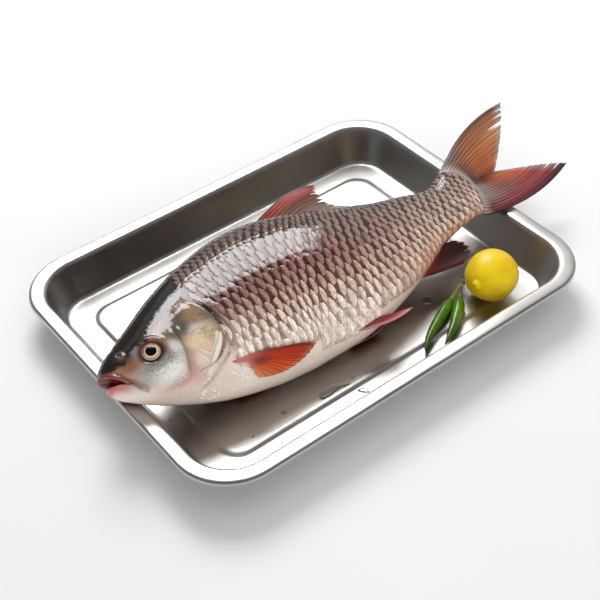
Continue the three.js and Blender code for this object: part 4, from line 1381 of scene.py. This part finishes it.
def make_pelvic(side, material):
    """A small fin on the belly: dull red, darker at its front."""
    edges = [(262, -65.5), (276, -69), (287.5, -72.5)] if side > 0 else [(254, -60), (264, -64), (272, -65)]
    base, edge = straight((232, -65), (237, -70)), arched(*edges)

    def bend(s):
        return (-9 if side > 0 else -2) * s

    def standing(points, off, s, r):
        clear = mix(13, 15.5, s) + 2 * np.sin(math.pi * r)
        return fish_point(points[..., 0], points[..., 1], clear + off)

    name = "pelvic_fin_upper" if side > 0 else "pelvic_fin_under"
    place = standing if side > 0 else on_skin(side, 4)
    make_fin(name, 8, base, edge, bend, nicked(0.02), place, pelvic_colours, material, root=2)


# ---- lemon and chillies ------------------------------------------------------------------------

LEMON_CENTRE = np.array([144, -111, 28.5])
LEMON_AXIS = unit(np.array([-0.96, -0.17, 0.21]))
LEMON_RADIUS = 25.2
LEMON_HALF_LENGTH = 26.5
LEMON_NIPPLE = 3.2

CHILLIES = {
    "chilli_1": {
        "body": [(40, -133.5, 6.5), (46, -127, 7.6), (61, -117.5, 8.6), (84, -106.5, 8.9), (99, -99.4, 8.9),
                 (106.5, -97, 8.9)],
        "stalk": [(103, -98, 8.9), (113, -93.2, 10), (121, -90, 11), (129.5, -88.5, 11.4)],
        "radius": 6.0,
    },
    "chilli_2": {
        "body": [(60, -137, 7.2), (68, -133, 8), (82, -125, 8.9), (97, -114.3, 8.9), (108.5, -104.7, 8.9),
                 (115, -99.3, 8.6)],
        "stalk": [(112, -102, 8.6), (119.5, -95, 6.6), (125, -90, 5.4), (139, -77.5, 5)],
        "radius": 6.2,
    },
}

POD_SIDES, STALK_SIDES = 32, 16
POD_GREEN = [(0, "#182c02"), (0.12, "#355a02"), (0.6, "#4f7d04"), (1, "#527d0a")]
STALK_GREEN = [(0, "#7c9a3a"), (0.4, "#a3b068"), (0.88, "#b6b884"), (1, "#4a4228")]


def make_lemon(material):
    """A lemon: a slightly uneven round body with a nub at one end, browned at its tip as painted shade."""
    steps, sides = 90, 120
    k = np.arange(steps + 1)
    s = -np.cos(math.pi * k / steps)
    run = s * LEMON_HALF_LENGTH + LEMON_NIPPLE * smooth(s, 0.984, 0.9996) - 0.3 * bump(s - 0.974, 0.010)
    path = LEMON_CENTRE + run[:, None] * LEMON_AXIS
    radius = LEMON_RADIUS * np.sin(math.pi * k / steps) ** 0.96
    rings = tube(path[1:-1], radius[1:-1], sides)
    centre = path[1:-1, None]
    turn = np.linspace(0, 2 * math.pi, sides, endpoint=False)[None]
    wobble = 1 + 0.010 * np.sin(3 * turn + 2 * s[1:-1, None]) + 0.006 * np.sin(5 * turn + 1)
    rings = centre + (rings - centre) * wobble[..., None]
    points, faces = capped(rings)
    points[-2], points[-1] = path[0], path[-1]
    # Painted shade: the nub's tip is browned.
    nub_shade = smooth(np.append(np.repeat(s[1:-1], sides), s[[0, -1]]), 0.9970, 0.9996)
    lemon = make_piece("lemon_peel", points, faces, material, values={"nub_shade": 0.5 * nub_shade})
    face_outwards(lemon)
    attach(lemon, "root")
    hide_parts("lemon")


def smooth_line(points, steps):
    """A smooth line through the points, cut into even steps."""
    p = np.asarray(points, float)
    p = np.concatenate([[2 * p[0] - p[1]], p, [2 * p[-1] - p[-2]]])
    fine = []
    for a, b, c, d in zip(p[:-3], p[1:-2], p[2:-1], p[3:]):
        t = np.linspace(0, 1, 24, endpoint=False)[:, None]
        fine.append(b + 0.5 * t * (c - a + t * (2 * a - 5 * b + 4 * c - d + t * (3 * (b - c) + d - a))))
    fine = np.concatenate(fine + [p[-2:-1]])
    run = np.concatenate([[0], np.cumsum(np.linalg.norm(np.diff(fine, axis=0), axis=1))])
    even = np.linspace(0, run[-1], steps + 1)
    return np.stack([np.interp(even, run, fine[:, k]) for k in range(3)], -1)


def make_chilli(name, body, stalk, radius, material):
    """A chilli: a bent pod that narrows to its tip, with its cap and stalk."""
    t = np.linspace(0, 1, 61)
    flesh = radius * (1 - (1 - t) ** 2.1) ** 0.75 * (1 - 0.55 * smooth(t, 0.8, 1))
    pod = tube(smooth_line(body, 60)[1:-1], flesh[1:-1], POD_SIDES)
    u = np.linspace(0, 1, 31)
    stem = 1.5 + 0.7 * smooth(u, 0.85, 1) + 1.4 * (1 - smooth(u, 0, 0.3))
    stem_rings = tube(smooth_line(stalk, 30), stem, STALK_SIDES)
    pod_points, pod_faces = capped(pod)
    stem_points, stem_faces = capped(stem_rings)
    points = np.concatenate([pod_points, stem_points])
    faces = pod_faces + [[v + len(pod_points) for v in face] for face in stem_faces]
    green = np.repeat(stops(POD_GREEN, t[1:-1]), POD_SIDES, axis=0)
    stalk_green = np.repeat(stops(STALK_GREEN, u), STALK_SIDES, axis=0)
    colour = np.concatenate([green, green[:1], green[-1:], stalk_green, stalk_green[:1], stalk_green[-1:]])
    chilli = make_piece("green_" + name, points, faces, material, None, {"flesh": colour})
    face_outwards(chilli)
    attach(chilli, "root")
    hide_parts(name)


# ---- water -------------------------------------------------------------------------------------

# Outlines of the thin films and drops lying on the tray, in millimetres about its middle.
PUDDLES = [
    [(-63.8, -104.1), (-69.8, -111.7), (-66.4, -114.6), (-57.0, -114.5), (-42.4, -112.3),
     (-36.1, -116.0), (-34.4, -112.6), (-43.6, -106.5), (-55.1, -104.9)],
    [(-36.5, -123.7), (-33.3, -129.6), (-28.4, -133.7), (-26.7, -130.3), (-30.7, -123.8)],
    [(87.2, -74.0), (93.3, -71.6), (96.5, -75.3), (95.6, -79.2), (96.6, -83.8),
     (92.2, -85.7), (89.0, -82.0), (84.9, -79.4)],
]
DROPS = [(-29.1, -110.5, 2.0), (133.4, -71.3, 2.2), (-103.1, -103.4, 3.0), (-141.4, -108.8, 1.6),
         (-186.0, -44.3, 1.8), (134.2, -77.7, 1.1), (-96.5, -103.6, 1.2)]
FILM_HEIGHT = 1.1
WATER_CLEARANCE = 0.06

# How far out and how high each ring of a drop's surface is, from its middle below to its top.
DROP_SHARES = [0.3, 0.6, 0.97, 1.0, 0.99, 0.96, 0.9, 0.78, 0.6, 0.35]
DROP_RISES = [0.0, 0.0, 0.0, 0.12, 0.4, 0.62, 0.82, 0.95, 1.0, 1.0]

# Beads of water on the throat.
BEADS = {"Beads per square metre": 45000.0, "Smallest": 0.5 * MM, "Largest": 1.5 * MM, "Seed": 5}
BEAD_FLATNESS = 0.6


def make_puddles(material):
    """Drops and thin films of water with rounded rims, each lying on the tray's own face."""
    round_drop = np.radians(np.arange(0, 360, 30))
    outlines = [np.array(line, float) for line in PUDDLES]
    outlines += [np.stack([x + reach * np.cos(round_drop), y + 0.8 * reach * np.sin(round_drop)], -1)
                 for x, y, reach in DROPS]
    points, faces = [], []
    for outline in outlines:
        closed = np.concatenate([outline, outline[:1]])
        for _ in range(3):
            closed = np.stack([mix(closed[:-1], closed[1:], 0.25), mix(closed[:-1], closed[1:], 0.75)], 1)
            closed = np.concatenate([closed.reshape(-1, 2), closed[:1, 0]])
        ring = closed[:-1]
        centre = ring.mean(0)
        reach = np.linalg.norm(ring - centre, axis=1).mean()
        height = min(FILM_HEIGHT, 0.35 * reach)
        rings = []
        for share, up in zip(DROP_SHARES, DROP_RISES):
            flat = centre + (ring - centre) * share
            under = tray_top(np.column_stack([flat, 0 * flat[:, 0]]))
            rings.append(np.column_stack([flat, under + WATER_CLEARANCE + height * up]))
        some, more = capped(np.array(rings))
        faces += [[v + sum(len(p) for p in points) for v in face] for face in more]
        points.append(some)
    water = make_piece("water_on_tray", np.concatenate(points), faces, material)
    face_outwards(water)
    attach(water, "root")


def bead_tree(material):
    """Scatters small beads over a patch of skin, sized at random."""
    inputs = {"Skin": "Geometry", "Beads per square metre": "Float", "Smallest": "Float", "Largest": "Float",
              "Seed": "Int"}
    tree, given = geometry_tree("scattered beads", inputs, "Beads")
    scattered = add(tree, "GeometryNodeDistributePointsOnFaces", {
        "Mesh": given["Skin"], "Density": given["Beads per square metre"], "Seed": given["Seed"]})
    bead = add(tree, "GeometryNodeMeshIcoSphere", {"Radius": 1.0, "Subdivisions": 2})
    flat = add(tree, "GeometryNodeTransform", {"Geometry": bead.outputs["Mesh"],
                                               "Scale": (1.0, 1.0, BEAD_FLATNESS)})
    size = add(tree, "FunctionNodeRandomValue", {2: given["Smallest"], 3: given["Largest"],
                                                 "Seed": given["Seed"]}, data_type="FLOAT")
    placed = add(tree, "GeometryNodeInstanceOnPoints", {"Points": scattered.outputs["Points"],
                                                        "Instance": flat,
                                                        "Rotation": scattered.outputs["Rotation"],
                                                        "Scale": size.outputs[1]})
    real = add(tree, "GeometryNodeRealizeInstances", {"Geometry": placed})
    smoothed = add(tree, "GeometryNodeSetShadeSmooth", {"Geometry": real})
    dressed = add(tree, "GeometryNodeSetMaterial", {"Geometry": smoothed, "Material": material})
    add(tree, "NodeGroupOutput", {"Beads": dressed})
    return tree


def make_beads(material):
    """Beads of water on the throat, below the root of the pectoral fin."""
    at, around = np.meshgrid(np.arange(64, 118, 3.0), np.arange(-78, -52, 2.0), indexing="ij")
    around = around + 0.16 * (118 - at)
    patch = wrap_round(np.stack([at, around, 0 * at + 0.3], -1).reshape(-1, 3), 1)
    cloud = bpy.data.meshes.new("beaded patch")
    cloud.from_pydata(to_row(patch).tolist(), [], grid_faces(*at.shape, False))
    beads = grown("beads_of_water", cloud, bead_tree(material), BEADS, material)
    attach(beads, "root")


# ---- the studio --------------------------------------------------------------------------------

CAMERA_PLACE = (-0.54237, -0.69824, 0.80937)
CAMERA_AZIMUTH = math.radians(-35.76)
CAMERA_ELEVATION = math.radians(43.03)
CAMERA_ROLL = math.radians(-3.07)
LENS = 72.35
SENSOR_WIDTH = 36

# Soft boxes: direction and height in degrees, distance, width, height, power, and what misses them.
PANELS = [
    ("back soft box", 66, 51, 2.0, 0.95, 0.98, 26),
    ("back soft box as mirrored", 66, 51, 1.96, 0.93, 0.96, 9, "visible_diffuse"),
    ("back wall", 42, 33, 3.2, 5.0, 3.4, 23),
    ("overhead fill", -60, 78, 2.4, 2.6, 2.6, 14.7, "visible_glossy"),
    ("front fill", -115, 15, 2.6, 2.4, 2.0, 42, "visible_glossy"),
]
SKY_STRENGTH = 0.2
TABLE_REACH = 3.0
TABLE_DROP = 0.0002


def towards(azimuth, elevation):
    return Vector((math.cos(elevation) * math.cos(azimuth), math.cos(elevation) * math.sin(azimuth),
                   math.sin(elevation)))


def add_camera():
    data = bpy.data.cameras.new("camera")
    data.lens = LENS
    data.sensor_width = SENSOR_WIDTH
    camera = put_in_scene("camera", data)
    a, e = CAMERA_AZIMUTH, CAMERA_ELEVATION
    backward = Vector((math.sin(a) * math.cos(e), -math.cos(a) * math.cos(e), math.sin(e)))
    right = Vector((math.cos(a), math.sin(a), 0))
    up = backward.cross(right)
    turn = Matrix((right, up, backward)).transposed() @ Matrix.Rotation(CAMERA_ROLL, 3, "Z")
    camera.matrix_world = Matrix.Translation(CAMERA_PLACE) @ turn.to_4x4()
    bpy.context.scene.camera = camera


def add_panel(name, azimuth, elevation, distance, width, height, power, missed_by=None):
    """A soft box that faces the tray from that direction; one kind of ray may miss it."""
    data = bpy.data.lights.new(name, "AREA")
    data.shape = "RECTANGLE"
    data.size, data.size_y = width, height
    data.energy = power
    lamp = put_in_scene(name, data)
    away = towards(math.radians(azimuth), math.radians(elevation))
    lamp.location = away * distance
    lamp.rotation_euler = away.to_track_quat("Z", "Y").to_euler()
    if missed_by:
        setattr(lamp, missed_by, False)


def add_table(material):
    """A wide white table under the tray."""
    count = 9
    run = np.linspace(-TABLE_REACH, TABLE_REACH, count)
    x, y = np.meshgrid(run, run, indexing="ij")
    points = (np.stack([x, y, np.full(x.shape, -TABLE_DROP)], -1).reshape(-1, 3) - SHIFT) / MM
    table = make_piece("table", points, grid_faces(count, count, False), material)


def add_world():
    """Even surroundings for the steel and the wet skin to mirror."""
    world = bpy.data.worlds.new("studio")
    world.use_nodes = True
    bpy.context.scene.world = world
    background = world.node_tree.nodes["Background"]
    background.inputs["Color"].default_value = rgba("#ffffff")
    background.inputs["Strength"].default_value = SKY_STRENGTH


def add_lights():
    """A soft box behind and to the right, a pale wall round it, a wide one overhead and one in front."""
    for panel in PANELS:
        add_panel(*panel)


def main():
    bpy.context.scene.view_settings.view_transform = "Standard"
    make_tray(stainless_steel())
    make_skin(wet_skin(), mouth_lining())
    make_scales(wet_scales())
    eye = eye_glass()
    web = fin_web()
    for side in (1, -1):
        make_eye(side, eye)
        make_pectoral(side, web)
        make_pelvic(side, web)
    make_tail(web)
    make_dorsal(web)
    make_anal(web)
    make_lemon(lemon_peel())
    green = chilli_skin()
    for name, shape in CHILLIES.items():
        make_chilli(name, material=green, **shape)
    make_puddles(clear_water())
    make_beads(water_beads())
    add_table(white_table())
    add_world()
    add_lights()
    add_camera()


main()
